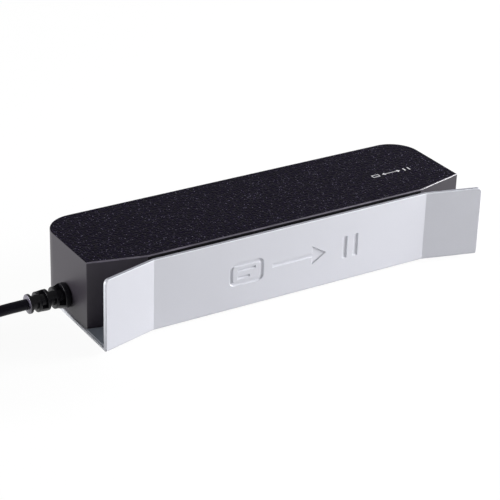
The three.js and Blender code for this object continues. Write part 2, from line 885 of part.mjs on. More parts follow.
function imageSensor() {
  const geometry = boxGeometry(
    [sensorFaceX + seatGap, sensorFaceX + seatGap + sensorThickness],
    spanAround(opticalAxisY, sensorSize),
    spanAround(windowMiddleZ, sensorSize),
  );
  return pieceOf('image_sensor', geometry, chipBlack);
}

const lampBoardFaceX = chamberInside / 2 - seatGap - lampBoardThickness;

function lampBoard(name, side) {
  const edges = [side * lampBoardFaceX, side * (lampBoardFaceX + lampBoardThickness)];
  const geometry = boxGeometry(
    [Math.min(...edges), Math.max(...edges)],
    [seatGap, lampZone - seatGap],
    spanAround(windowMiddleZ, lampBoardHeight),
  );
  return pieceOf(name, geometry, circuitGreen);
}

// A clear strip with one raised lens for each lamp under it
function lampStrip(name, side) {
  const pitch = lampBoardHeight / lampsPerBoard;
  const length = (lampsPerBoard - 1) * pitch + 2 * lampSize;
  const along = (near, far) => [side * near, side * far].sort((a, b) => a - b);
  const backX = lampBoardFaceX - seatGap;
  const stripX = backX - lampHeight / 2;
  const width = spanAround(lampZone / 2, lampSize);
  const solids = [box(along(backX, stripX), width, spanAround(windowMiddleZ, length))];
  for (let i = 0; i < lampsPerBoard; i += 1) {
    const z = windowMiddleZ + (i - (lampsPerBoard - 1) / 2) * pitch;
    solids.push(box(along(backX, backX - lampHeight), width, spanAround(z, lampSize)));
  }
  return solidPiece(name, join(...solids), lampWhite);
}

// From the back edge of the sensor board to its socket on the main board
function cameraRibbon() {
  const startX = sensorFaceX - boardThickness / 2;
  const startY = opticalAxisY + sensorBoardWidth / 2 + seatGap;
  const endX = cameraSocketX - windowX;
  const endY = socketY - opticsFrontY - socketDepth / 2 - seatGap;
  const straight = 2 * ribbonThickness;
  const points = [
    [startX, startY],
    [startX, startY + straight],
    [endX, endY - straight],
    [endX, endY],
  ];
  const outline = bandOutline(points, ribbonThickness, largeArcSteps);
  const lowZ = boardTopZ + seatGap;
  const mesh = pieceOf('camera_ribbon', raised(outline, [lowZ, lowZ + ribbonWidth]), ribbonAmber);
  return mesh;
}

function opticsGroup() {
  const group = new THREE.Group();
  group.position.set(windowX, opticsFrontY, 0);
  group.add(
    opticsHousing(),
    foldMirror(),
    lensBarrel(),
    frontLens(),
    sensorBoard(),
    imageSensor(),
    lampBoard('lamp_board_left', -1),
    lampBoard('lamp_board_right', 1),
    lampStrip('lamp_strip_left', -1),
    lampStrip('lamp_strip_right', 1),
    cameraRibbon(),
  );
  return group;
}

// A small optical sensor behind the front wall, with its round nose in a hole of the wall
function presenceSensor(name, x) {
  const z = linerTopZ + presenceAboveLiner;
  const bodyY = innerFrontY + seatGap;
  const nose = rodAlongY(presenceNoseRadius, 0, [coverFrontY + seatGap, bodyY + seatGap], 0);
  const body = box(spanAround(0, presenceBody), [bodyY, bodyY + presenceDepth], spanAround(0, presenceBody));
  const mesh = solidPiece(name, join(toSolid(nose), body), chipBlack);
  mesh.position.set(x, 0, z);
  return mesh;
}

// Magnetic head and its mounting, in a frame of its own: Y from the cover's front face
const headBackY = headDepth - headProud;
const springFrontY = headBackY + seatGap;
const springHalf = headWidth / 2 + springOverhang;
const uprightFrontY = springFrontY + springThickness + seatGap;
const uprightX = springHalf - uprightWidth / 2;
const bracketRearY = uprightFrontY + bracketDepth;

function readHead() {
  const half = headWidth / 2;
  const centreY = headNoseRadius - headProud;
  const halfAngle = Math.asin(half / headNoseRadius);
  const outline = new THREE.Shape();
  outline.moveTo(half, headBackY);
  outline.lineTo(-half, headBackY);
  const start = Math.PI * 1.5 - halfAngle;
  outline.absarc(0, centreY, headNoseRadius, start, Math.PI * 1.5 + halfAngle);
  outline.closePath();
  return pieceOf('read_head', raised(outline, spanAround(headZ, headHeight)), nickel);
}

// A flat spring: full width at its screws and behind the head, narrow between
function headSpring() {
  const wide = springHeight / 2;
  const narrow = springWaist / 2;
  const padX = headWidth / 4;
  const endX = springHalf - uprightWidth;
  const right = [
    [padX, wide],
    [headWidth / 2, narrow],
    [endX, narrow],
    [endX + narrow, wide],
    [springHalf, wide],
  ];
  const mirrored = (points, signX, signZ) =>
    points.map(([x, z]) => new THREE.Vector2(signX * x, signZ * z));
  const outline = new THREE.Shape([
    ...mirrored(right, 1, 1).reverse(),
    ...mirrored(right, -1, 1),
    ...mirrored(right, -1, -1).reverse(),
    ...mirrored(right, 1, -1),
  ]);
  for (const x of [-uprightX, uprightX]) {
    const hole = new THREE.Path();
    hole.absarc(x, 0, screwShankRadius + screwClearance, 0, Math.PI * 2, true);
    outline.holes.push(hole);
  }
  const depth = [springFrontY, springFrontY + springThickness];
  const mesh = pieceOf('head_spring', carriedBack(outline, depth), springSteel);
  mesh.position.z = headZ;
  return mesh;
}

function bracketScrewPlaces() {
  const x = springHalf / 2;
  const y = bracketRearY - 2 * panHeadRadius;
  return [
    [-x, y],
    [x, y],
  ];
}

function headBracket() {
  const slabTopZ = insideLowZ + slabThickness;
  const base = box([-springHalf, springHalf], [uprightFrontY, bracketRearY], [insideLowZ, slabTopZ]);
  const uprightY = [uprightFrontY, uprightFrontY + uprightDepth];
  const solids = [base];
  const holes = [];
  const radius = screwShankRadius + screwClearance;
  const holeY = [uprightFrontY - cutOverrun, uprightY[1] + cutOverrun];
  for (const x of [-uprightX, uprightX]) {
    solids.push(box(spanAround(x, uprightWidth), uprightY, [insideLowZ, headZ + uprightRise]));
    holes.push(toSolid(rodAlongY(radius, x, holeY, headZ)));
    const gusset = new THREE.Shape();
    gusset.moveTo(uprightY[1] - cutOverrun, slabTopZ - cutOverrun);
    gusset.lineTo(uprightY[1] + uprightDepth, slabTopZ - cutOverrun);
    gusset.lineTo(uprightY[1] + uprightDepth, slabTopZ);
    gusset.lineTo(uprightY[1], headZ);
    gusset.lineTo(uprightY[1] - cutOverrun, headZ);
    gusset.closePath();
    solids.push(gussetSolid(gusset, x));
  }
  for (const [x, y] of bracketScrewPlaces()) {
    holes.push(toSolid(rodUp(radius, radius, x, y, [insideLowZ - cutOverrun, slabTopZ + cutOverrun])));
  }
  return solidPiece('head_bracket', cut(join(...solids), ...holes), matBlack);
}

// A side outline, drawn in depth and height, given the width of a rib
function gussetSolid(outline, middleX) {
  const options = { depth: ribWidth, bevelEnabled: false };
  const geometry = new THREE.ExtrudeGeometry(outline, options);
  geometry.rotateX(Math.PI / 2).rotateZ(Math.PI / 2);
  return toSolid(geometry.translate(middleX - ribWidth / 2, 0, 0));
}

// Pan-head screws, drawn with the head's underside at zero height
function panScrew(length) {
  const profile = [
    [0, -length],
    [screwShankRadius, -length],
    [screwShankRadius, 0],
    [panHeadRadius, 0],
    [panHeadRadius, panHeadHeight],
    [0, panHeadHeight],
  ];
  return turnedUp(profile, screwSides);
}

// Screws that hold the spring to the uprights, with their heads to the front
function headScrew(name, x) {
  const seatY = springFrontY - seatGap;
  const length = uprightFrontY + uprightDepth / 2 - seatY;
  const mesh = pieceOf(name, panScrew(length), screwSteel);
  mesh.position.set(x, seatY, headZ);
  mesh.rotation.x = Math.PI / 2;
  return mesh;
}

function headRibbon() {
  const startZ = headZ - headHeight / 2 + ribbonSag;
  const endZ = boardTopZ + seatGap + socketHeight / 2;
  const startY = headBackY + seatGap;
  const endY = socketY - coverFrontY - socketDepth / 2 - seatGap;
  const points = [
    [startY, startZ],
    [(2 * startY + endY) / 3, (2 * startZ + endZ) / 3 - ribbonSag],
    [(startY + 2 * endY) / 3, (startZ + 2 * endZ) / 3 + ribbonSag],
    [endY, endZ],
  ];
  const options = { depth: ribbonWidth, bevelEnabled: false };
  const geometry = new THREE.ExtrudeGeometry(bandOutline(points, ribbonThickness, largeArcSteps), options);
  geometry.rotateX(Math.PI / 2).rotateZ(Math.PI / 2).translate(-ribbonWidth / 2, 0, 0);
  return pieceOf('head_ribbon', geometry, ribbonAmber);
}

function headGroup() {
  const group = new THREE.Group();
  group.position.set(headX, coverFrontY, 0);
  group.add(readHead(), headSpring(), headBracket(), headRibbon());
  group.add(headScrew('head_screw_left', -uprightX), headScrew('head_screw_right', uprightX));
  return group;
}

// Main board, in the space between the optics housing and the rear wall
const boardFrontY = opticsFrontY + chamberDepth + seatGap;
const boardRearY = coverRearY - coverWall - boardToRearWall;
const boardDepth = boardRearY - boardFrontY;
const boardHoleInset = boardDepth * boardInsetShare;
const boardMiddleY = (boardFrontY + boardRearY) / 2;
const socketY = boardFrontY + socketDepth;

// A place between the two ribbon sockets
function betweenSockets(share) {
  const leftX = cameraSocketX + socketWidth / 2;
  const rightX = headX - socketWidth / 2;
  return leftX + (rightX - leftX) * share;
}

function boardHolePlaces() {
  const xs = [boardLeftX + boardHoleInset, boardRightX - boardHoleInset];
  const ys = [boardFrontY + boardHoleInset, boardRearY - boardHoleInset];
  return fourCorners(xs, ys);
}

function mainBoard() {
  const outline = new THREE.Shape();
  outline.moveTo(boardLeftX, boardFrontY);
  outline.lineTo(boardRightX, boardFrontY);
  outline.lineTo(boardRightX, boardRearY);
  outline.lineTo(boardLeftX, boardRearY);
  outline.closePath();
  for (const [x, y] of boardHolePlaces()) {
    const hole = new THREE.Path();
    hole.absarc(x, y, boardHoleRadius, 0, Math.PI * 2, true);
    outline.holes.push(hole);
  }
  return pieceOf('main_board', raised(outline, [boardLowZ, boardTopZ], smallArcSteps), circuitGreen);
}

function boardScrews() {
  const geometry = panScrew(boardScrewLength).translate(0, 0, boardTopZ + seatGap);
  return atCorners('board_screw', boardHolePlaces(), geometry, screwSteel);
}

function onBoard(spanX, spanY, height) {
  const lowZ = boardTopZ + seatGap;
  return boxGeometry(spanX, spanY, [lowZ, lowZ + height]);
}

function processorChip() {
  const size = boardDepth * processorSizeShare;
  const around = spanAround(betweenSockets(processorPlaceShare), size);
  const geometry = onBoard(around, spanAround(boardMiddleY, size), processorThickness);
  return pieceOf('processor_chip', geometry, chipBlack);
}

function boardCapacitor() {
  const lowZ = boardTopZ + seatGap;
  const span = [lowZ, lowZ + capacitorHeight];
  const x = betweenSockets(capacitorPlaceShare);
  const can = rodUp(capacitorRadius, capacitorRadius, x, boardMiddleY, span);
  return pieceOf('board_capacitor', can, screwSteel);
}

function buzzer() {
  const lip = buzzerHoleRadius;
  const buzzerRadius = boardDepth * buzzerRadiusShare;
  const profile = [
    [0, 0],
    [buzzerRadius, 0],
    [buzzerRadius, buzzerHeight - lip],
    [buzzerRadius - lip, buzzerHeight],
    [lip, buzzerHeight],
    [lip, buzzerHeight / 2],
    [0, buzzerHeight / 2],
  ];
  const mesh = pieceOf('buzzer', turnedUp(profile), chipBlack);
  mesh.position.set(betweenSockets(buzzerPlaceShare), boardMiddleY, boardTopZ + seatGap);
  return mesh;
}

function ribbonSocket(name, x, y) {
  const geometry = onBoard(spanAround(x, socketWidth), spanAround(y, socketDepth), socketHeight);
  return pieceOf(name, geometry, nylonWhite);
}

const headerFaceX = boardLeftX + boardHoleInset + panHeadRadius + partGap;
const headerEndX = headerFaceX + headerDepth;
const cameraSocketX = headerEndX + partGap + socketWidth / 2;
const connectorZ = boardTopZ + seatGap + headerHeight / 2;

function boardHeader() {
  const width = spanAround(boardMiddleY, boardDepth * headerWidthShare);
  const geometry = onBoard([headerFaceX, headerEndX], width, headerHeight);
  return pieceOf('board_header', geometry, nylonWhite);
}

function boardGroup() {
  const group = new THREE.Group();
  group.add(
    mainBoard(),
    ...boardScrews(),
    processorChip(),
    boardCapacitor(),
    buzzer(),
    ribbonSocket('head_socket', headX, socketY),
    ribbonSocket('camera_socket', cameraSocketX, socketY),
    boardHeader(),
  );
  return group;
}

// Lead inside the housing: from the strain relief, through its clamp, to the connector
const flangeInnerX = -coverHalf + coverWall + seatGap + bootFlangeThickness;
const clampLeftX = -coverHalf + coverWall + clampFromWall;
const clampRightX = clampLeftX + clampLength;

function roundSection(radius, sides) {
  const points = [];
  for (let i = 0; i < sides; i += 1) {
    const angle = (2 * Math.PI * i) / sides;
    points.push(new THREE.Vector2(radius * Math.cos(angle), radius * Math.sin(angle)));
  }
  return new THREE.Shape(points);
}

function tubeAlong(points, steps, sides) {
  const path = new THREE.CatmullRomCurve3(points, false, 'centripetal');
  path.arcLengthDivisions = 20 * steps;
  const options = { steps, bevelEnabled: false, extrudePath: path };
  return new THREE.ExtrudeGeometry(roundSection(cordRadius, sides), options);
}

function innerLead() {
  const startX = flangeInnerX + seatGap;
  const endX = headerFaceX - seatGap;
  const points = [
    new THREE.Vector3(startX, glandY, glandZ),
    new THREE.Vector3(clampLeftX, glandY, glandZ),
    new THREE.Vector3(clampRightX, glandY, glandZ),
    new THREE.Vector3(clampRightX + cordDiameter, glandY, glandZ),
    new THREE.Vector3(endX - cordDiameter, boardMiddleY, connectorZ),
    new THREE.Vector3(endX, boardMiddleY, connectorZ),
  ];
  return pieceOf('inner_lead', tubeAlong(points, 12, innerLeadSides), cableJacket);
}

function clampScrewPlace() {
  return [(clampLeftX + clampRightX) / 2, glandY];
}

// A block with a bore for the lead and an arched top, screwed on from under the plate
function leadClamp() {
  const spanX = [clampLeftX, clampRightX];
  const half = cordRadius + seatGap + clampWall;
  const body = box(spanX, spanAround(glandY, 2 * half), [insideLowZ, glandZ]);
  const arch = toSolid(rodAlongX(half, spanX, glandY, glandZ));
  const boreSpan = [clampLeftX - cutOverrun, clampRightX + cutOverrun];
  const bore = toSolid(rodAlongX(cordRadius + seatGap, boreSpan, glandY, glandZ));
  const radius = screwShankRadius + screwClearance;
  const holeSpan = [insideLowZ - cutOverrun, insideLowZ + clampScrewDepth + screwClearance];
  const hole = toSolid(rodUp(radius, radius, ...clampScrewPlace(), holeSpan));
  return solidPiece('lead_clamp', cut(join(body, arch), bore, hole), nylonWhite);
}

// Every pan-head screw that goes down into the plate of the guide
function chassisScrewPlaces() {
  const optics = opticsScrewPlaces().map(([x, y]) => [x + windowX, y + opticsFrontY]);
  const bracket = bracketScrewPlaces().map(([x, y]) => [x + headX, y + coverFrontY]);
  return [...optics, ...bracket];
}

const chassisScrewNames = ['optics_front', 'optics_rear', 'bracket_left', 'bracket_right'];

function chassisScrews() {
  const seatZ = insideLowZ + slabThickness + seatGap;
  return chassisScrewPlaces().map(([x, y], i) => {
    const geometry = panScrew(seatZ - plateLowZ - seatGap);
    const mesh = pieceOf(`screw_${chassisScrewNames[i]}`, geometry, screwSteel);
    mesh.position.set(x, y, seatZ);
    return mesh;
  });
}

function clampScrew() {
  const geometry = countersunkScrew(insideLowZ + clampScrewDepth);
  const mesh = pieceOf('screw_clamp', geometry, screwSteel);
  mesh.position.set(...clampScrewPlace(), 0);
  return mesh;
}

// Strain relief: flange, neck and shoulder, then rings that grow smaller, with a slot before each.
// Two bridges cross each slot, and the next slot's bridges stand at right angles to them.
const bootPitch = bootSlotWidth + bootRingLength;
const bootShoulderX = coverHalf + seatGap;
const bootFirstSlotX = bootShoulderX + bootShoulderLength;
const bootEndX = bootFirstSlotX + bootRings * bootPitch;

function bootRingRadius(ring) {
  const share = ring / (bootRings - 1);
  return bootFirstRingRadius + (bootLastRingRadius - bootFirstRingRadius) * share;
}

function bootBlank() {
  const innerX = -flangeInnerX;
  const flangeOuterX = innerX + bootFlangeThickness;
  const profile = [
    [0, innerX],
    [bootFlangeRadius, innerX],
    [bootFlangeRadius, flangeOuterX],
    [bootNeckRadius, flangeOuterX],
    [bootNeckRadius, bootShoulderX],
    [bootShoulderRadius, bootShoulderX],
    [bootShoulderRadius, bootFirstSlotX - bootRimRound],
    [bootShoulderRadius - bootRimRound, bootFirstSlotX],
  ];
  for (let ring = 0; ring < bootRings; ring += 1) {
    const startX = bootFirstSlotX + ring * bootPitch + bootSlotWidth;
    const radius = bootRingRadius(ring);
    profile.push([radius - bootRimRound, startX]);
    profile.push([radius, startX + bootRimRound]);
    profile.push([radius, startX + bootRingLength - bootRimRound]);
    profile.push([radius - bootRimRound, startX + bootRingLength]);
  }
  profile.push([0, bootEndX]);
  return toSolid(turnedAlongX(profile));
}

function strainRelief() {
  const outside = bootShoulderRadius + cutOverrun;
  const slots = [];
  for (let ring = 0; ring < bootRings; ring += 1) {
    const startX = bootFirstSlotX + ring * bootPitch;
    const spanX = [startX, startX + bootSlotWidth];
    const reach = [startX - cutOverrun, startX + bootSlotWidth + cutOverrun];
    const ringCut = toSolid(rodAlongX(outside, spanX, 0, 0));
    const core = toSolid(rodAlongX(bootCoreRadius, reach, 0, 0));
    const across = [-outside - cutOverrun, outside + cutOverrun];
    const narrow = spanAround(0, bootBridgeWidth);
    const bridge = ring % 2 === 0 ? box(reach, narrow, across) : box(reach, across, narrow);
    slots.push(cut(ringCut, core, bridge));
  }
  const mesh = solidPiece('strain_relief', cut(bootBlank(), ...slots), cableJacket);
  mesh.position.set(0, glandY, glandZ);
  mesh.rotation.z = Math.PI;
  return mesh;
}

// Coil: layers spiral in and out in turn, and climb in the half turn where the spiral reverses
const coilLowZ = tieThickness + seatGap + cordRadius;
const coilOuterRadius = coilInnerRadius + layerTurns * loopPitch;

function coilPlan() {
  const plan = [];
  for (let layer = 0; layer < coilLayers; layer += 1) {
    const last = layer === coilLayers - 1;
    const turns = last ? lastLayerTurns : layerTurns;
    const inward = layer % 2 === 0;
    const from = inward ? coilOuterRadius : coilInnerRadius;
    const to = from + (inward ? -1 : 1) * turns * loopPitch;
    const z = coilLowZ + layer * layerPitch;
    plan.push({ turns, from, to, lowZ: z, highZ: z });
    if (!last) {
      plan.push({ turns: climbTurns, from: to, to, lowZ: z, highZ: z + layerPitch });
    }
  }
  return plan;
}

function coilPlace(angle, radius, z) {
  const x = coilCentreX + radius * Math.cos(angle);
  const y = coilCentreY + radius * Math.sin(angle);
  return new THREE.Vector3(x, y, z);
}

function headingAt(angle) {
  return new THREE.Vector3(-Math.sin(angle), Math.cos(angle), 0);
}

function coilLine() {
  const points = [coilPlace(coilStartAngle, coilOuterRadius, coilLowZ)];
  let angle = coilStartAngle;
  for (const { turns, from, to, lowZ, highZ } of coilPlan()) {
    const steps = Math.round(turns * coilStepsPerTurn);
    for (let step = 1; step <= steps; step += 1) {
      const share = step / steps;
      const turned = angle + share * turns * 2 * Math.PI;
      points.push(coilPlace(turned, from + (to - from) * share, lowZ + (highZ - lowZ) * share));
    }
    angle += turns * 2 * Math.PI;
  }
  return { points, endAngle: angle };
}

const coil = coilLine();
const coilStart = coil.points[0];
const coilStop = coil.points[coil.points.length - 1];
const startHeading = headingAt(coilStartAngle);
const stopHeading = headingAt(coil.endAngle);

function onward(place, heading, distance) {
  return place.clone().addScaledVector(heading, distance);
}

function coilPath() {
  const first = onward(coilStart, startHeading, -cordDiameter);
  const last = onward(coilStop, stopHeading, cordDiameter);
  return [first, ...coil.points, last];
}

function cordCoil() {
  const points = coilPath();
  const geometry = tubeAlong(points, points.length - 1, coilSides);
  return pieceOf('cord_coil', geometry, cableJacket);
}

// The smallest distance between stretches of the coil that are over a third of a turn apart
function leastCoilGap() {
  const { points } = coil;
  const apart = Math.round(coilStepsPerTurn / 3);
  let least = Infinity;
  for (let i = 0; i < points.length; i += 1) {
    for (let j = i + apart; j < points.length - 1; j += 1) {
      const segment = new THREE.Line3(points[j], points[j + 1]);
      const nearest = segment.closestPointToPoint(points[i], true, new THREE.Vector3());
      least = Math.min(least, nearest.distanceTo(points[i]));
    }
  }
  return least - cordDiameter;
}

function routeVectors(route) {
  return route.map(([x, y, z]) => new THREE.Vector3(x, y, z));
}

function leadPath() {
  const start = new THREE.Vector3(-bootEndX - seatGap, glandY, glandZ);
  const end = onward(coilStart, startHeading, -cordDiameter - seatGap);
  const straightEnd = onward(start, new THREE.Vector3(-1, 0, 0), cordDiameter);
  const beforeEnd = onward(end, startHeading, -cordDiameter);
  return [start, straightEnd, ...routeVectors(leadRoute), beforeEnd, end];
}

function cordLead() {
  return pieceOf('cord_lead', tubeAlong(leadPath(), leadSteps, cordSides), cableJacket);
}

const plugZ = coilLowZ + (coilLayers - 1) * layerPitch + cordRadius + seatGap + plugBodyThickness / 2;
const plugDirection = new THREE.Vector3(Math.cos(plugHeading), Math.sin(plugHeading), 0);

function tailPath() {
  const start = onward(coilStop, stopHeading, cordDiameter + seatGap);
  const afterStart = onward(start, stopHeading, cordDiameter);
  const neck = new THREE.Vector3(plugNeckX, plugNeckY, plugZ);
  const end = onward(neck, plugDirection, -seatGap);
  const beforeEnd = onward(end, plugDirection, -cordDiameter);
  return [start, afterStart, ...routeVectors(tailRoute), beforeEnd, end];
}

function cordTail() {
  return pieceOf('cord_tail', tubeAlong(tailPath(), tailSteps, cordSides), cableJacket);
}

// A strap round the bundle of turns, at the front of the coil
function coilTie() {
  const insideRadius = coilInnerRadius - cordRadius - tieClearance;
  const nearY = Math.sqrt(insideRadius ** 2 - (tieWidth / 2) ** 2);
  const farY = coilOuterRadius + cordRadius + tieClearance;
  const topZ4 = coilLowZ + (coilLayers - 1) * layerPitch + cordRadius + seatGap;
  const width = farY - nearY;
  const height = topZ4 - tieThickness;
  const corner = cordRadius;
  const outer = roundedRectangle(width + 2 * tieThickness, height + 2 * tieThickness, corner);
  outer.holes.push(roundedRectangle(width, height, corner - tieThickness));
  const options = { depth: tieWidth, bevelEnabled: false, curveSegments: smallArcSteps };
  const band = new THREE.ExtrudeGeometry(outer, options);
  band.rotateX(Math.PI / 2).rotateZ(Math.PI / 2).translate(-tieWidth / 2, 0, 0);
  const mesh = pieceOf('coil_tie', band, darkRubber);
  mesh.position.set(coilCentreX, coilCentreY - (nearY + farY) / 2, (topZ4 + tieThickness) / 2);
  return mesh;
}

// Plug, in a frame of its own: X from the cord's side of its neck towards its mouth
function plugBody() {
  const bodyX = plugNeckLength;
  const rear = plugBodyTailWidth / 2;
  const front = plugBodyWidth / 2;
  const endX = bodyX + plugBodyLength;
  const shoulderX = bodyX + plugBodyLength / 3;
  const inset = plugBodyBevel;
  const outline = new THREE.Shape();
  outline.moveTo(bodyX + plugBodyCorner, -rear);
  outline.bezierCurveTo(shoulderX, -rear, bodyX + plugBodyCorner, -front, shoulderX, -front);
  outline.lineTo(endX - plugBodyCorner, -front);
  outline.quadraticCurveTo(endX, -front, endX, -front + plugBodyCorner);
  outline.lineTo(endX, front - plugBodyCorner);
  outline.quadraticCurveTo(endX, front, endX - plugBodyCorner, front);
  outline.lineTo(shoulderX, front);
  outline.bezierCurveTo(bodyX + plugBodyCorner, front, shoulderX, rear, bodyX + plugBodyCorner, rear);
  outline.quadraticCurveTo(bodyX, rear, bodyX, rear - plugBodyCorner);
  outline.lineTo(bodyX, -rear + plugBodyCorner);
  outline.quadraticCurveTo(bodyX, -rear, bodyX + plugBodyCorner, -rear);
  const options = {
    depth: plugBodyThickness - 2 * inset,
    bevelThickness: inset,
    bevelSize: inset,
    bevelOffset: -inset,
    bevelSegments: 2,
    curveSegments: smallArcSteps,
  };
  const body = new THREE.ExtrudeGeometry(outline, options);
  body.translate(0, 0, inset - plugBodyThickness / 2);
  const neckProfile = [
    [0, 0],
    [plugNeckRadius - bootRimRound, 0],
    [plugNeckRadius, bootRimRound],
    [plugNeckRadius + bootRimRound, bodyX + plugBodyCorner],
    [0, bodyX + plugBodyCorner],
  ];
  const neck = turnedAlongX(neckProfile);
  return solidPiece('plug_body', join(toSolid(body), toSolid(neck)), cableJacket);
}

const plugShellX = plugNeckLength + plugBodyLength + seatGap;

function plugShell() {
  const endX = plugShellX + plugShellLength;
  const outer = box([plugShellX, endX], spanAround(0, plugShellWidth), spanAround(0, plugShellHeight));
  const inner = box(
    [plugShellX - cutOverrun, endX + cutOverrun],
    spanAround(0, plugShellWidth - 2 * plugShellWall),
    spanAround(0, plugShellHeight - 2 * plugShellWall),
  );
  const latchX = spanAround(endX - plugLatchFromMouth, plugLatchSize);
  const latches = [-1, 1].map((side) =>
    box(latchX, spanAround((side * plugLatchSpacing) / 2, plugLatchSize), [0, plugShellHeight]),
  );
  return solidPiece('plug_shell', cut(outer, inner, ...latches), nickel);
}

function plugTongue() {
  const topZInside = plugShellHeight / 2 - plugShellWall - seatGap;
  const geometry = boxGeometry(
    [plugShellX, plugShellX + plugShellLength - plugTongueSetback],
    spanAround(0, plugShellWidth - 2 * plugShellWall - 2 * seatGap),
    [topZInside - plugTongueThickness, topZInside],
  );
  return pieceOf('plug_tongue', geometry, tongueBlack);
}

function plugGroup() {
  const group = new THREE.Group();
  group.position.set(plugNeckX, plugNeckY, plugZ);
  group.rotation.z = plugHeading;
  group.add(plugBody(), plugShell(), plugTongue());
  return group;
}

function cordGroup() {
  const group = new THREE.Group();
  group.add(strainRelief(), cordLead(), cordCoil(), coilTie(), cordTail(), plugGroup());
  return group;
}

function housingGroup() {
  const group = new THREE.Group();
  group.add(slotGuide(), slotLiner(), topCover(), ...coverScrews(), ...feet());
  group.add(scanWindow(), windowGasket());
  const [leftX, rightX] = presencePlaces();
  group.add(presenceSensor('presence_sensor_left', leftX));
  group.add(presenceSensor('presence_sensor_right', rightX));
  group.add(innerLead(), leadClamp(), clampScrew(), ...chassisScrews());
  return group;
}

function lengthOf(points) {
  return new THREE.CatmullRomCurve3(points, false, 'centripetal').getLength();
}

const reader = new THREE.Group();
reader.name = 'id_document_reader';
reader.add(housingGroup(), opticsGroup(), headGroup(), boardGroup(), cordGroup());

const outsideLength = lengthOf(leadPath()) + lengthOf(tailPath());
const coilLength = coilPath().reduce(
  (sum, point, i, all) => (i === 0 ? 0 : sum + point.distanceTo(all[i - 1])),
  0,
);
console.log(`coil: least gap to itself ${leastCoilGap().toFixed(2)} mm`);
console.log(`cord: ${(outsideLength + coilLength).toFixed(0)} mm long outside the housing`);

export default reader;
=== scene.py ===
"""Looks of a desktop swipe reader for identity documents.

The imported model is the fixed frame. Every size is in metres, in the reader's own frame:
X runs along the slot, +Y from the guide to the back of the housing, +Z up.
"""

import json
import logging
import math
from dataclasses import dataclass
from enum import Enum
from typing import Callable, Sequence

import bmesh
import bpy
from mathutils import Matrix, Vector

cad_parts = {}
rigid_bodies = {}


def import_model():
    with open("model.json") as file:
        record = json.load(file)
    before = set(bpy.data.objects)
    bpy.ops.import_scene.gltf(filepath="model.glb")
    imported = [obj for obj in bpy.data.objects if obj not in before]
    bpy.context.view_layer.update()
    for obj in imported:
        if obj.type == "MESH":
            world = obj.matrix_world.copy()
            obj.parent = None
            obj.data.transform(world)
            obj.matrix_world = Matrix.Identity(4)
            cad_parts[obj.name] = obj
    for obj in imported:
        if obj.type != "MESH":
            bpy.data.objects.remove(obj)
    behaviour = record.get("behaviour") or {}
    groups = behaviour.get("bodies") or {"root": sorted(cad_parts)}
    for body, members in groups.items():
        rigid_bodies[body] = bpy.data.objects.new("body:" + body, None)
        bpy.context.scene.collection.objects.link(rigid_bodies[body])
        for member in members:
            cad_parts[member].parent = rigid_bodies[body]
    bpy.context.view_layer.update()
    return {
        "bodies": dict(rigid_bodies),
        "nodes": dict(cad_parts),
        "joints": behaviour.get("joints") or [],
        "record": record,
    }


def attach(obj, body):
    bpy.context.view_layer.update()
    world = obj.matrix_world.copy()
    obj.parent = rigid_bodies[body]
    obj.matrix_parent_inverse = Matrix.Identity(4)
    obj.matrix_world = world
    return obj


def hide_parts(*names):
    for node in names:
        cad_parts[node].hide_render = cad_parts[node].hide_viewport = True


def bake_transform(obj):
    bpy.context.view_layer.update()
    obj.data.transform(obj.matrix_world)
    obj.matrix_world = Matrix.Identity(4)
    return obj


Piece = bpy.types.Object
Node = bpy.types.Node
Socket = bpy.types.NodeSocket
Point = tuple[float, float, float]
Pair = tuple[float, float]
Colour = tuple[int, int, int]
Test = Callable[[object], bool]
Feeds = dict[int | str, object]

LOG = logging.getLogger("reader")
HOUSING = "housing"
MERGE = 1e-6
NEAR = 2e-5
OVERSHOOT = 0.001
SHALLOW = math.radians(8)
LEVEL = 0.9
SIDES = (-1, 1)
PLUG_NECK = (-0.1657, 0.015, 0.0251)
PLUG_HEADING = math.radians(198)


class Select(Enum):
    """What an edit-mode selection picks."""

    VERT = "verts"
    EDGE = "edges"
    FACE = "faces"


class Axis(Enum):
    """A direction of the reader's frame."""

    X = (1.0, 0.0, 0.0)
    Y = (0.0, 1.0, 0.0)
    Z = (0.0, 0.0, 1.0)


class Join(Enum):
    """How tools change a piece."""

    CUT = "DIFFERENCE"
    FUSE = "UNION"


def linear(colour: Colour) -> tuple[float, ...]:
    """Turns a display colour, from 0 to 255, into the opaque linear one that shaders use."""
    parts = [c / 255 for c in colour]
    return (*(c / 12.92 if c <= 0.04045 else ((c + 0.055) / 1.055) ** 2.4 for c in parts), 1.0)


def corners(xs: Pair, ys: Pair) -> tuple[Pair, ...]:
    """Returns four places: front left, front right, rear left, rear right."""
    return tuple((x, y) for y in ys for x in xs)


SCREW_PLACES = corners((-0.076, 0.076), (-0.009, 0.0209))
CLAMP_PLACE = (-0.0778, 0.0052)


# Modelling


def activate(piece: Piece) -> None:
    """Makes one object the only selected and the active one.

    Args:
        piece: the object to work on.
    """
    bpy.ops.object.select_all(action="DESELECT")
    piece.select_set(True)
    bpy.context.view_layer.objects.active = piece


def settle(piece: Piece) -> Piece:
    """Writes an object's place, turn and scale into its mesh.

    Args:
        piece: the object.

    Returns:
        The same object, at the origin.
    """
    activate(piece)
    bpy.ops.object.transform_apply(location=True, rotation=True, scale=True)
    return piece


def added(name: str) -> Piece:
    """Names and settles the object that an operator has just added."""
    bpy.context.object.name = name
    return settle(bpy.context.object)


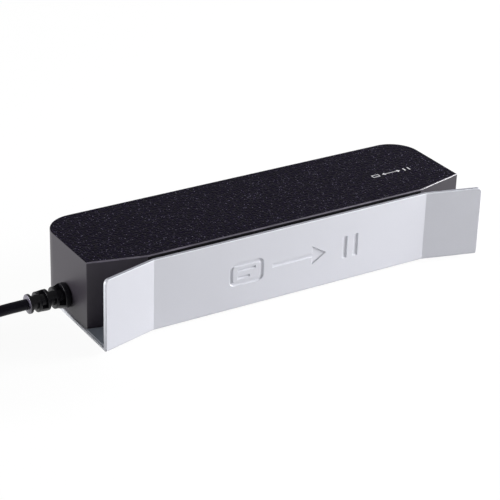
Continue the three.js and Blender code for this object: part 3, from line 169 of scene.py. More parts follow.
class Edit:
    """One mesh in edit mode, with selections made by place or normal."""

    def __init__(self, piece: Piece) -> None:
        """Keeps the mesh object to be edited."""
        self.piece = piece

    def __enter__(self) -> "Edit":
        """Opens edit mode.

        Returns:
            This editor.
        """
        activate(self.piece)
        bpy.ops.object.mode_set(mode="EDIT")
        return self

    def __exit__(self, *_: object) -> None:
        """Goes back to object mode."""
        bpy.ops.object.mode_set(mode="OBJECT")

    def all(self) -> "Edit":
        """Selects the whole mesh.

        Returns:
            This editor, so that an operator can follow.
        """
        bpy.ops.mesh.select_mode(type="VERT")
        bpy.ops.mesh.select_all(action="SELECT")
        return self

    def pick(self, kind: Select, test: Test) -> None:
        """Selects the elements that pass a test, and nothing else.

        Args:
            kind: vertices, edges or faces.
            test: says whether an element is wanted.
        """
        bpy.ops.mesh.select_mode(type=kind.name)
        bpy.ops.mesh.select_all(action="DESELECT")
        mesh = bmesh.from_edit_mesh(self.piece.data)
        for element in getattr(mesh, kind.value):
            if test(element):
                element.select_set(True)
        mesh.select_flush_mode()
        bmesh.update_edit_mesh(self.piece.data)

    def extrude(self, move: Point) -> None:
        """Extrudes the selection and moves what is new."""
        bpy.ops.mesh.extrude_region_move(TRANSFORM_OT_translate={"value": move})

    def bevel(self, width: float, steps: int, points: bool = False) -> None:
        """Rounds the selected edges, or the selected points of a flat outline."""
        affect = "VERTICES" if points else "EDGES"
        bpy.ops.mesh.bevel(offset=width, segments=steps, affect=affect, clamp_overlap=False)

    def slice(self, point: Point, normal: Point, clear: bool = True, fill: bool = False) -> None:
        """Cuts the whole mesh by a plane.

        Args:
            point: a point of the plane.
            normal: the plane's normal.
            clear: True drops what lies beyond the plane.
            fill: True closes the opening that the slice leaves.
        """
        self.all()
        bpy.ops.mesh.bisect(plane_co=point, plane_no=normal, clear_outer=clear, use_fill=fill)

    def split(self, axis: Axis, *places: float) -> None:
        """Adds a loop of edges at each place along an axis."""
        for place in places:
            self.slice(tuple(place * c for c in axis.value), axis.value, clear=False)

    def tidy(self) -> None:
        """Merges doubles and turns all faces outward."""
        self.all()
        bpy.ops.mesh.remove_doubles(threshold=MERGE)
        bpy.ops.mesh.normals_make_consistent(inside=False)


def at(element: object, axis: int, value: float) -> bool:
    """Says whether all points of an edge or face lie at one value of an axis."""
    return all(abs(v.co[axis] - value) < NEAR for v in element.verts)


def along(edge: object, axis: int, least: float) -> bool:
    """Says whether an edge runs along an axis by more than a length."""
    return abs(edge.verts[0].co[axis] - edge.verts[1].co[axis]) > least


def looks(face: object, axis: int) -> bool:
    """Says whether a face looks along an axis, one way or the other."""
    return abs(face.normal[axis]) > LEVEL


def is_creased(edge: object) -> bool:
    """Says whether two faces meet at an edge with a turn that shows."""
    return len(edge.link_faces) == 2 and edge.calc_face_angle() > SHALLOW


def bar(left: float, right: float, low: float, high: float) -> list[Pair]:
    """Returns the corners of a rectangle."""
    return [(left, low), (right, low), (right, high), (left, high)]


def block(name: str, low: Point, high: Point) -> Piece:
    """Adds a box between two corners, as a start for a piece.

    Args:
        name: the object's name.
        low: its lowest corner.
        high: its highest corner.

    Returns:
        The box.
    """
    centre = [(a + b) / 2 for a, b in zip(low, high)]
    size = [b - a for a, b in zip(low, high)]
    bpy.ops.mesh.primitive_cube_add(size=1, location=centre, scale=size)
    return added(name)


def rod(name: str, radius: float, start: Point, end: Point, sides: int) -> Piece:
    """Adds a cylinder between two points.

    Args:
        name: the object's name.
        radius: its radius.
        start: the middle of its first end.
        end: the middle of its other end.
        sides: the number of its sides.

    Returns:
        The cylinder.
    """
    first, last = Vector(start), Vector(end)
    run = last - first
    bpy.ops.mesh.primitive_cone_add(
        vertices=sides, radius1=radius, radius2=radius, depth=run.length,
        location=(first + last) / 2, rotation=run.to_track_quat("Z", "Y").to_euler(),
    )
    return added(name)


def chain(name: str, points: Sequence[Point], closed: bool = False) -> Piece:
    """Draws a line of edges by extruding one vertex from point to point.

    Args:
        name: the object's name.
        points: the places of the vertices.
        closed: True joins the last to the first and fills the outline.

    Returns:
        The line or the filled outline.
    """
    bpy.ops.mesh.primitive_plane_add(size=MERGE, location=points[0])
    piece = added(name)
    with Edit(piece) as edit:
        edit.all()
        bpy.ops.mesh.merge(type="CENTER")
        for here, there in zip(points, points[1:]):
            edit.extrude(tuple(b - a for a, b in zip(here, there)))
        if closed:
            edit.all()
            bpy.ops.mesh.edge_face_add()
    return piece


def spun(piece: Piece, axis: Axis, centre: Point, steps: int, angle: float = math.tau) -> Piece:
    """Turns a line or a filled section about an axis.

    Args:
        piece: the line or section.
        axis: the axis to turn about.
        centre: a point of that axis.
        steps: the number of steps in the turn.
        angle: how far it turns.

    Returns:
        The same object.
    """
    with Edit(piece) as edit:
        edit.all()
        bpy.ops.mesh.spin(steps=steps, angle=angle, center=centre, axis=axis.value)
        edit.tidy()
    return piece


def turned(
    name: str, profile: Sequence[Pair], axis: Axis, centre: Point = (0, 0, 0), steps: int = 48
) -> Piece:
    """Makes a turned form.

    Args:
        name: the object's name.
        profile: pairs of distance from the axis and place along it.
        axis: the axis to turn about.
        centre: the point from which places along the axis count.
        steps: the number of steps in the full turn.

    Returns:
        The form.
    """
    side = Vector(Axis.Z.value if axis is Axis.X else Axis.X.value)
    forward = Vector(axis.value)
    points = [tuple(Vector(centre) + side * r + forward * a) for r, a in profile]
    return spun(chain(name, points), axis, centre, steps)


def raised(name: str, outline: Sequence[Point], move: Point) -> Piece:
    """Fills an outline and gives it a thickness.

    Args:
        name: the object's name.
        outline: the corners of a flat outline.
        move: how far and which way the filled outline is extruded.

    Returns:
        The form.
    """
    piece = chain(name, outline, closed=True)
    with Edit(piece) as edit:
        edit.all().extrude(move)
        edit.tidy()
    return piece


def merged(name: str, pieces: Sequence[Piece]) -> Piece:
    """Joins objects into one.

    Args:
        name: the name of the result.
        pieces: the objects.

    Returns:
        The first of them, with the meshes of all.
    """
    activate(pieces[0])
    for piece in pieces:
        piece.select_set(True)
    bpy.ops.object.join()
    pieces[0].name = name
    return pieces[0]


def apply(piece: Piece, kind: str, **settings: object) -> None:
    """Adds one modifier with its settings and applies it.

    Args:
        piece: the object.
        kind: the modifier's type.
        settings: the modifier's values by name.
    """
    activate(piece)
    modifier = piece.modifiers.new(kind.title(), kind)
    for name, value in settings.items():
        setattr(modifier, name, value)
    bpy.ops.object.modifier_apply(modifier=modifier.name)


def boolean(piece: Piece, how: Join, *tools: Piece) -> None:
    """Cuts tools out of a piece or adds them to it, and removes the tools.

    Args:
        piece: the object that is kept.
        how: whether the tools take material away or add it.
        tools: the objects that shape it.
    """
    for tool in tools:
        apply(piece, "BOOLEAN", object=tool, operation=how.value, solver="EXACT")
        bpy.data.objects.remove(tool)


def thicken(piece: Piece, thickness: float, offset: float) -> None:
    """Gives a surface a thickness.

    Args:
        piece: the surface.
        thickness: its thickness.
        offset: -1 to thicken behind the surface, 0 to both sides of it.
    """
    apply(piece, "SOLIDIFY", thickness=thickness, offset=offset, use_even_offset=True)
    with Edit(piece) as edit:
        edit.tidy()


def soften(piece: Piece, edge: float, angle: float, steps: int = 2, clamp: bool = True) -> None:
    """Rounds the sharp edges of a piece.

    Args:
        piece: the object.
        edge: the width of the rounding.
        angle: the smallest angle in degrees that counts as an edge.
        steps: the number of steps in each rounding.
        clamp: True narrows the rounding where short edges meet.
    """
    apply(
        piece, "BEVEL", width=edge, segments=steps, limit_method="ANGLE",
        angle_limit=math.radians(angle), miter_outer="MITER_ARC", use_clamp_overlap=clamp,
    )


def polish(piece: Piece, angle: float, edge: float = 0.0, crease: Test | None = None) -> Piece:
    """Rounds the sharp edges of a piece and shades it smooth, with its flat faces kept flat.

    Args:
        piece: the object.
        angle: the smallest angle in degrees that counts as an edge.
        edge: the width of the rounding, if there is one.
        crease: picks shallow edges that stay crisp.

    Returns:
        The same object.
    """
    if edge:
        soften(piece, edge, angle)
    activate(piece)
    bpy.ops.object.shade_smooth_by_angle(angle=math.radians(angle))
    if crease:
        with Edit(piece) as edit:
            edit.pick(Select.EDGE, crease)
            bpy.ops.mesh.mark_sharp()
    apply(piece, "WEIGHTED_NORMAL", keep_sharp=True, weight=50, mode="FACE_AREA")
    return piece


def strip(
    name: str, line: Sequence[Pair], x: float, half: float, thickness: float, edge: float,
    corner: float = 0.0,
) -> Piece:
    """Makes a length of flat band along a line.

    Args:
        name: the object's name.
        line: the middle of its thickness, as pairs of Y and Z.
        x: the middle of its width.
        half: half its width.
        thickness: its thickness.
        edge: the rounding of its edges.
        corner: the rounding of its ends' corners, if there is one.

    Returns:
        The band.
    """
    piece = chain(name, [(x - half, y, z) for y, z in line])
    ends = (Vector((x, *line[0])), Vector((x, *line[-1])))
    with Edit(piece) as edit:
        edit.all().extrude((2 * half, 0, 0))
        edit.tidy()
        if corner:
            reach = half + NEAR
            edit.pick(Select.VERT, lambda v: any((v.co - end).length < reach for end in ends))
            edit.bevel(corner, steps=6, points=True)
    thicken(piece, thickness, 0.0)
    return polish(piece, angle=40, edge=edge)


def copied(piece: Piece, name: str, place: Pair) -> Piece:
    """Copies a piece with a mesh of its own, and moves the copy.

    Args:
        piece: the object to copy, which stands at the origin.
        name: the copy's name.
        place: where the copy goes, as X and Y.

    Returns:
        The copy, with its place written into its mesh.
    """
    twin = piece.copy()
    twin.data = piece.data.copy()
    twin.name = name
    bpy.context.scene.collection.objects.link(twin)
    twin.location = (*place, 0)
    return settle(twin)


# Materials


class Wiring:
    """A node tree, with short ways to add and join its nodes."""

    def __init__(self, tree: bpy.types.NodeTree) -> None:
        """Keeps the tree to be filled."""
        self.tree = tree

    def add(self, kind: str, feeds: Feeds | None = None, **settings: object) -> Node:
        """Adds a node.

        Args:
            kind: the node's type, without its usual first words.
            feeds: what its inputs get, by number or name.
            settings: its properties by name.

        Returns:
            The node.
        """
        node = self.tree.nodes.new("ShaderNode" + kind)
        for name, value in settings.items():
            setattr(node, name, value)
        self.fill(node, feeds or {})
        return node

    def fill(self, node: Node, feeds: Feeds) -> None:
        """Feeds several inputs of a node."""
        for key, source in feeds.items():
            self.feed(node.inputs[key], source)

    def feed(self, target: Socket, source: object) -> None:
        """Joins a socket to another, or sets it to a value.

        Args:
            target: the input socket.
            source: an output socket or a value.
        """
        if isinstance(source, Socket):
            self.tree.links.new(source, target)
        else:
            target.default_value = source

    def math(self, how: str, *values: object) -> Socket:
        """Adds a sum of sockets and numbers, and returns its result."""
        return self.add("Math", dict(enumerate(values)), operation=how).outputs[0]

    def vector(self, how: str, feeds: Feeds) -> Socket:
        """Adds a sum of vectors, and returns its result."""
        return self.add("VectorMath", feeds, operation=how).outputs[0]

    def mix(self, share: object, first: object, second: object) -> Socket:
        """Mixes two colours by a share, and returns the result."""
        return self.add("Mix", {0: share, 6: first, 7: second}, data_type="RGBA").outputs[2]

    def ramp(self, *values: object) -> Socket:
        """Maps a value from one range (low, high) onto another with soft ends."""
        feeds = dict(enumerate(values))
        return self.add("MapRange", feeds, interpolation_type="SMOOTHSTEP").outputs[0]

    def noise(self, place: Socket, scale: object, detail: float = 2.0) -> Node:
        """Adds soft noise."""
        return self.add("TexNoise", {"Vector": place, "Scale": scale, "Detail": detail})

    def bump(self, height: Socket, depth: float, **under: Socket) -> Socket:
        """Turns a height into a normal, which may lie over another one."""
        return self.add("Bump", {"Distance": depth, "Height": height, **under}).outputs[0]

    def group(self, effect: "Effect", **values: object) -> Socket:
        """Places the node group of an effect, feeds its inputs by name, and returns its result."""
        return self.add("Group", values, node_tree=effect.tree()).outputs[0]


def grain_height(wire: Wiring, place: Socket, scale: Socket, softness: Socket) -> Socket:
    """Builds the grain of a moulding: raised cells with soft valleys, broken up by noise.

    Args:
        wire: the group's wiring.
        place: the place on the surface.
        scale: the number of cells to the metre.
        softness: how far the cells run into one another.

    Returns:
        The height.
    """
    warp_scale, warp_reach, fine_scale, fine_height = 0.6, 0.35, 2.3, 0.35
    warp = wire.noise(place, wire.math("MULTIPLY", scale, warp_scale)).outputs["Color"]
    shift = wire.vector("SCALE", {0: warp, "Scale": wire.math("DIVIDE", warp_reach, scale)})
    moved = wire.vector("ADD", {0: place, 1: shift})
    feeds = {"Vector": moved, "Scale": scale, "Smoothness": softness}
    cells = wire.add("TexVoronoi", feeds, feature="SMOOTH_F1")
    fine = wire.noise(place, wire.math("MULTIPLY", scale, fine_scale), detail=3)
    hill = wire.math("SUBTRACT", 1.0, cells.outputs["Distance"])
    return wire.math("ADD", hill, wire.math("MULTIPLY", fine.outputs[0], fine_height))


def drift_factor(wire: Wiring, place: Socket, scale: Socket) -> Socket:
    """Builds a slow change of tone over a surface, from 0 to 1."""
    low, high = 0.3, 0.7
    return wire.ramp(wire.noise(place, scale, detail=4).outputs[0], low, high, 0.0, 1.0)


def speckle_mask(wire: Wiring, place: Socket, scale: Socket, share: Socket) -> Socket:
    """Builds small points, 1 on a point and 0 between.

    Args:
        wire: the group's wiring.
        place: the place on the surface.
        scale: the number of cells to the metre.
        share: the share of the cells that hold a point.

    Returns:
        The mask.
    """
    cells = wire.add("TexVoronoi", {"Vector": place, "Scale": scale}, feature="F1")
    chosen = wire.add("SeparateColor", {0: cells.outputs["Color"]})
    kept = wire.math("LESS_THAN", chosen.outputs[0], share)
    inner, outer = 0.15, 0.4
    dot = wire.ramp(cells.outputs["Distance"], inner, outer, 1.0, 0.0)
    return wire.math("MULTIPLY", kept, wire.math("MULTIPLY", dot, chosen.outputs[1]))


def lay_height(wire: Wiring, place: Socket, scale: Socket) -> Socket:
    """Builds fine streaks along X, as drawing or rolling leaves them.

    Args:
        wire: the group's wiring.
        place: the place on the surface.
        scale: the number of streaks to the metre.

    Returns:
        The height.
    """
    squeeze = (0.04, 1.0, 1.0)
    stretched = wire.add("Mapping", {"Scale": squeeze, "Vector": place}).outputs[0]
    return wire.noise(stretched, scale, detail=5).outputs[0]


class Effect(Enum):
    """The surface effects that several finishes share: name, number inputs, and result."""

    GRAIN = ("Moulded grain", ("Scale", "Softness"), "Height")
    DRIFT = ("Tone drift", ("Scale",), "Factor")
    SPECKLE = ("Fine speckle", ("Scale", "Share"), "Mask")
    LAY = ("Directional lay", ("Scale",), "Height")

    def tree(self) -> bpy.types.NodeTree:
        """Builds the effect at its first use.

        Returns:
            The effect's node group.
        """
        name, numbers, result = self.value
        if name in bpy.data.node_groups:
            return bpy.data.node_groups[name]
        tree = bpy.data.node_groups.new(name, "ShaderNodeTree")
        tree.interface.new_socket("Vector", in_out="INPUT", socket_type="NodeSocketVector")
        for number in numbers:
            tree.interface.new_socket(number, in_out="INPUT", socket_type="NodeSocketFloat")
        tree.interface.new_socket(result, in_out="OUTPUT", socket_type="NodeSocketFloat")
        inside = tree.nodes.new("NodeGroupInput").outputs
        outside = tree.nodes.new("NodeGroupOutput").inputs
        wire = Wiring(tree)
        wire.feed(outside[0], EFFECT_MAKERS[self](wire, *(inside[n] for n in ("Vector", *numbers))))
        return tree


EFFECT_MAKERS = {
    Effect.GRAIN: grain_height,
    Effect.DRIFT: drift_factor,
    Effect.SPECKLE: speckle_mask,
    Effect.LAY: lay_height,
}


@dataclass(frozen=True)
class Finish:
    """A surface: its colour, its shine, and the small relief and changes of tone on it.

    Scales count pattern cells to the metre, and depths are in metres.
    """

    name: str
    slot: str
    colour: Colour
    roughness: float
    grain_scale: float = 2600.0
    grain_depth: float = 2e-5
    grain_softness: float = 0.4
    metallic: float = 0.0
    specular: float = 0.5
    coat: float = 0.0
    coat_roughness: float = 0.1
    sheen: float = 0.0
    lay_scale: float = 0.0
    lay_depth: float = 0.0
    drift_scale: float = 45.0
    drift: float = 0.08
    roughness_drift: float = 0.06
    speckle: Colour = (255, 255, 255)
    speckle_scale: float = 1400.0
    speckle_share: float = 0.0
    transmission: float = 0.0
    ior: float = 1.5

    def material(self) -> bpy.types.Material:
        """Builds the material at its first use.

        Returns:
            The material.
        """
        if self.name in bpy.data.materials:
            return bpy.data.materials[self.name]
        made = bpy.data.materials.new(self.name)
        made.use_nodes = True
        made.diffuse_color = linear(self.colour)
        self.dress(Wiring(made.node_tree), made.node_tree.nodes["Principled BSDF"])
        return made

    def dress(self, wire: Wiring, shader: Node) -> None:
        """Sets the shader's constants and joins what changes over the surface.

        Args:
            wire: the material's wiring.
            shader: its Principled shader.
        """
        place = wire.add("TexCoord").outputs["Object"]
        drift = wire.group(Effect.DRIFT, Vector=place, Scale=self.drift_scale)
        smoothest = max(self.roughness - self.roughness_drift, 0.0)
        roughest = min(self.roughness + self.roughness_drift, 1.0)
        wire.fill(shader, {
            "Metallic": self.metallic,
            "Specular IOR Level": self.specular,
            "Coat Weight": self.coat,
            "Coat Roughness": self.coat_roughness,
            "Sheen Weight": self.sheen,
            "Transmission Weight": self.transmission,
            "IOR": self.ior,
            "Base Color": self.tone(wire, place, drift),
            "Roughness": wire.ramp(drift, 0.0, 1.0, smoothest, roughest),
            "Normal": self.relief(wire, place),
        })

    def tone(self, wire: Wiring, place: Socket, drift: Socket) -> Socket:
        """Builds the colour over the surface.

        Args:
            wire: the material's wiring.
            place: the object coordinates.
            drift: a slow change from 0 to 1.

        Returns:
            The colour socket.
        """
        base = linear(self.colour)[:3]
        darker = tuple(c * (1 - self.drift) for c in base) + (1.0,)
        lighter = tuple(min(c * (1 + self.drift), 1.0) for c in base) + (1.0,)
        colour = wire.mix(drift, darker, lighter)
        if not self.speckle_share:
            return colour
        # Dots of the speckle colour; on the grained top of the cover they are painted highlights.
        pattern = {"Scale": self.speckle_scale, "Share": self.speckle_share}
        dots = wire.group(Effect.SPECKLE, Vector=place, **pattern)
        return wire.mix(dots, colour, linear(self.speckle))

    def relief(self, wire: Wiring, place: Socket) -> Socket:
        """Builds the small relief.

        Args:
            wire: the material's wiring.
            place: the object coordinates.

        Returns:
            The normal socket.
        """
        pattern = {"Scale": self.grain_scale, "Softness": self.grain_softness}
        grain = wire.bump(wire.group(Effect.GRAIN, Vector=place, **pattern), self.grain_depth)
        if not self.lay_depth:
            return grain
        lay = wire.group(Effect.LAY, Vector=place, Scale=self.lay_scale)
        return wire.bump(lay, self.lay_depth, Normal=grain)


@dataclass(frozen=True)
class BoardFinish(Finish):
    """Solder mask over copper tracks, with rows of small pads."""

    track: Colour = (38, 112, 66)
    pad: Colour = (206, 188, 120)
    track_scale: float = 260.0
    track_width: float = 0.07
    track_bias: float = -0.2
    pad_ratio: float = 1.7
    pad_share: float = 0.16

    def tone(self, wire: Wiring, place: Socket, drift: Socket) -> Socket:
        """Builds the mask's colour with tracks and pads.

        Args:
            wire: the material's wiring.
            place: the object coordinates.
            drift: a slow change from 0 to 1.

        Returns:
            The colour socket.
        """
        base = Finish.tone(self, wire, place, drift)
        feeds = {"Vector": place, "Scale": self.track_scale, "Mortar Size": self.track_width}
        feeds["Bias"] = self.track_bias
        bricks = wire.add("TexBrick", feeds, offset=0.37, squash=1.6, squash_frequency=3)
        tracks = wire.mix(bricks.outputs["Fac"], base, linear(self.track))
        pattern = {"Scale": self.track_scale * self.pad_ratio, "Share": self.pad_share}
        pads = wire.group(Effect.SPECKLE, Vector=place, **pattern)
        return wire.mix(pads, tracks, linear(self.pad))


@dataclass(frozen=True)
class StrapFinish(Finish):
    """Woven strap with loops, seen as fine crossed ribs."""

    thread_scale: float = 1500.0
    thread_depth: float = 0.00012
    thread_waver: float = 0.6

    def relief(self, wire: Wiring, place: Socket) -> Socket:
        """Builds crossed threads.

        Args:
            wire: the material's wiring.
            place: the object coordinates.

        Returns:
            The normal socket.
        """
        scale = self.thread_scale / math.tau
        feeds = {"Vector": place, "Scale": scale, "Distortion": self.thread_waver}
        waves = [
            wire.add("TexWave", feeds, bands_direction=axis.name, wave_profile="SIN").outputs["Fac"]
            for axis in Axis
        ]
        height = wire.math("MAXIMUM", wire.math("MAXIMUM", waves[0], waves[1]), waves[2])
        return wire.bump(height, self.thread_depth)


GUIDE_PAINT = Finish(
    "Satin silver paint", "guide_paint", (219, 220, 228), 0.44, 2600, 4e-6, 0.8, metallic=0.1,
    specular=0.45, drift_scale=9, drift=0.015, roughness_drift=0.03, speckle=(232, 233, 240),
    speckle_scale=5200, speckle_share=0.25,
)
# Painted shade: a darker colour for the upward top edge of the sheet, standing in for the shade it
# lies in.
GUIDE_TOP_PAINTED_SHADE = Finish(
    "Cut edge of the sheet", "guide_paint", (168, 169, 180), 0.5, 2600, 6e-6, metallic=0.1,
    specular=0.35, drift_scale=60, drift=0.06,
)
# Painted highlight: a lighter colour for the sheet's end faces and the rounding in front of its top
# edge, standing in for the light these edges catch.
GUIDE_PAINTED_HIGHLIGHT = Finish(
    "Bright edge of the sheet", "guide_paint", (243, 246, 254), 0.4, 2600, 4e-6,
    drift_scale=60, drift=0.02,
)
# The grain is real; the light speckle colour mixed into it paints highlights on the grain's facets.
COVER_GRAIN_WITH_PAINTED_GLINTS = Finish(
    "Grained black moulding", "cover_moulding", (17, 12, 28), 0.46, 1250, 3e-4, 0.2,
    specular=0.04, drift_scale=700, drift=0.7, roughness_drift=0.1, speckle=(156, 151, 177),
    speckle_scale=1450, speckle_share=0.24,
)
COVER_SATIN = Finish(
    "Satin black moulding", "cover_moulding", (48, 43, 52), 0.42, 3000, 1e-5, drift_scale=30,
    drift=0.1, roughness_drift=0.04,
)
# Painted highlight: a lighter colour on the front rim's chamfer, standing in for the light it
# catches; its lower roughness is real.
COVER_RIM_PAINTED_HIGHLIGHT = Finish(
    "Burnished rim", "cover_moulding", (96, 91, 103), 0.24, 3000, 6e-6, specular=0.6,
    drift_scale=90, drift=0.25,
)
SLOT_FACE = Finish(
    "Black slot face", "cover_moulding", (13, 12, 15), 0.75, 2200, 3e-5, specular=0.12, drift=0.15
)
COVER_PRINT = Finish("Pale print", "cover_moulding", (246, 245, 250), 0.5, 2400, 4e-6, drift=0.03)
# The strip is real; its grey is raised as painted light, standing in for light that the shaded slot
# floor doesn't get.
WEAR_STRIP_WITH_PAINTED_LIGHT = Finish(
    "Grey wear strip", "wear_strip", (132, 138, 148), 0.4, 2200, 8e-6, lay_scale=900,
    lay_depth=1e-5, drift=0.1,
)
SCREW_METAL = Finish(
    "Zinc-plated steel", "screws", (178, 182, 186), 0.3, 3000, 6e-6, metallic=1.0,
    drift_scale=300, roughness_drift=0.08,
)
FOOT_RUBBER = Finish(
    "Foot rubber", "feet", (30, 30, 31), 0.85, 1600, 2e-5, specular=0.3, drift=0.15,
    speckle=(70, 70, 72), speckle_scale=1500, speckle_share=0.06,
)
CLEAR = Finish(
    "Clear pane", "clear_parts", (236, 244, 245), 0.03, 150, 1e-6, transmission=1.0, ior=1.46,
    drift=0.0, roughness_drift=0.02,
)
FOAM = Finish(
    "Seal foam", "foam", (48, 49, 52), 0.95, 2600, 1.2e-4, 0.1, specular=0.2, sheen=0.2, drift=0.12
)
CHIP = Finish("Chip epoxy", "chips", (26, 27, 28), 0.55, 4200, 8e-6, drift=0.1)
BOOT_RUBBER = Finish(
    "Boot rubber", "cable_jacket", (13, 11, 19), 0.34, 1800, 8e-6, 0.7, specular=0.3,
    drift_scale=60, drift=0.15, roughness_drift=0.05,
)
# Painted highlight: a lighter colour on the boot's end face, standing in for the light it reflects
# from the left.
BOOT_END_PAINTED_HIGHLIGHT = Finish(
    "Polished boot end", "cable_jacket", (122, 117, 134), 0.26, 1800, 6e-6, 0.7, specular=0.9,
    drift_scale=500, drift=0.25, roughness_drift=0.08,
)
JACKET = Finish(
    "Cable jacket", "cable_jacket", (14, 11, 26), 0.27, 1800, 6e-6, 0.9, specular=0.13,
    drift_scale=25, drift=0.18, roughness_drift=0.07,
)
NYLON = Finish(
    "Natural nylon", "nylon", (230, 226, 215), 0.5, 2400, 1e-5, specular=0.4, drift=0.04
)
INNER_BLACK = Finish(
    "Matte inner moulding", "inner_moulding", (20, 20, 22), 0.8, 2000, 2e-5, specular=0.25,
    drift=0.12,
)
MIRROR = Finish(
    "Front-silvered mirror", "mirror", (228, 232, 236), 0.02, 200, 5e-7, metallic=1.0, drift=0.01,
    roughness_drift=0.015,
)
BOARD = BoardFinish("Solder mask", "circuit_board", (22, 82, 46), 0.35, 2600, 8e-6, coat=0.3)
LAMP_LENS = Finish("Milky lens", "lamp_lens", (242, 238, 220), 0.25, 900, 4e-6, drift=0.03)
RIBBON = Finish(
    "Amber film", "ribbon", (178, 108, 32), 0.3, 1200, 4e-6, coat=0.4, lay_scale=1500,
    lay_depth=3e-5, drift=0.12,
)
NICKEL = Finish(
    "Nickel plate", "nickel", (200, 201, 204), 0.2, 2600, 3e-6, metallic=1.0, lay_scale=1200,
    lay_depth=4e-6, drift=0.05, drift_scale=120, roughness_drift=0.05,
)
SPRING = Finish(
    "Spring strip", "spring_steel", (188, 194, 200), 0.22, 2600, 3e-6, metallic=1.0,
    lay_scale=1800, lay_depth=8e-6, drift=0.05,
)
CAN = Finish(
    "Capacitor can", "can", (180, 182, 186), 0.3, 2000, 4e-6, metallic=1.0, lay_scale=900,
    lay_depth=4e-6, drift=0.06,
)
STRAP = StrapFinish(
    "Woven strap", "tie", (30, 30, 32), 0.9, specular=0.25, sheen=0.35, drift=0.15
)
TONGUE = Finish("Plug insulator", "tongue", (34, 36, 40), 0.5, 2600, 6e-6)

NODE_FINISHES = {
    WEAR_STRIP_WITH_PAINTED_LIGHT: ("slot_liner",),
    CLEAR: ("scan_window", "front_lens"),
    FOAM: ("window_gasket",),
    CHIP: (
        "presence_sensor_left", "presence_sensor_right", "image_sensor", "processor_chip", "buzzer",
    ),
    JACKET: ("inner_lead",),
    NYLON: ("lead_clamp", "head_socket", "camera_socket", "board_header"),
    SCREW_METAL: (
        "screw_optics_front", "screw_optics_rear", "screw_bracket_left", "screw_bracket_right",
        "head_screw_left", "head_screw_right", "board_screw_front_left", "board_screw_front_right",
        "board_screw_rear_left", "board_screw_rear_right",
    ),
    INNER_BLACK: ("optics_housing", "lens_barrel", "head_bracket"),
    MIRROR: ("fold_mirror",),
    BOARD: ("sensor_board", "lamp_board_left", "lamp_board_right", "main_board"),
    LAMP_LENS: ("lamp_strip_left", "lamp_strip_right"),
    RIBBON: ("camera_ribbon",),
    NICKEL: ("read_head",),
    CAN: ("board_capacitor",),
}


def wear(piece: Piece, *finishes: Finish) -> Piece:
    """Gives a piece its materials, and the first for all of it.

    Args:
        piece: the object.
        finishes: its finishes, in the order of the mesh's material slots.

    Returns:
        The same object.
    """
    piece.data.materials.clear()
    for finish in finishes:
        piece.data.materials.append(finish.material())
    return piece


def index_of(piece: Piece, finish: Finish) -> int:
    """Returns the number of a finish among the materials of a piece."""
    return piece.data.materials.find(finish.name)


def ready(piece: Piece, body: str, *nodes: str) -> Piece:
    """Lets a finished piece ride on a body in place of CAD nodes, and reports it.

    Args:
        piece: the object.
        body: the CAD body that it moves with.
        nodes: the CAD nodes that it stands for.

    Returns:
        The same object.
    """
    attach(piece, body)
    if nodes:
        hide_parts(*nodes)
    faces = len(piece.data.polygons) if piece.type == "MESH" else 0
    LOG.info("%s: %d faces, for %s", piece.name, faces, ", ".join(nodes) or "itself")
    return piece


# Sub-assemblies


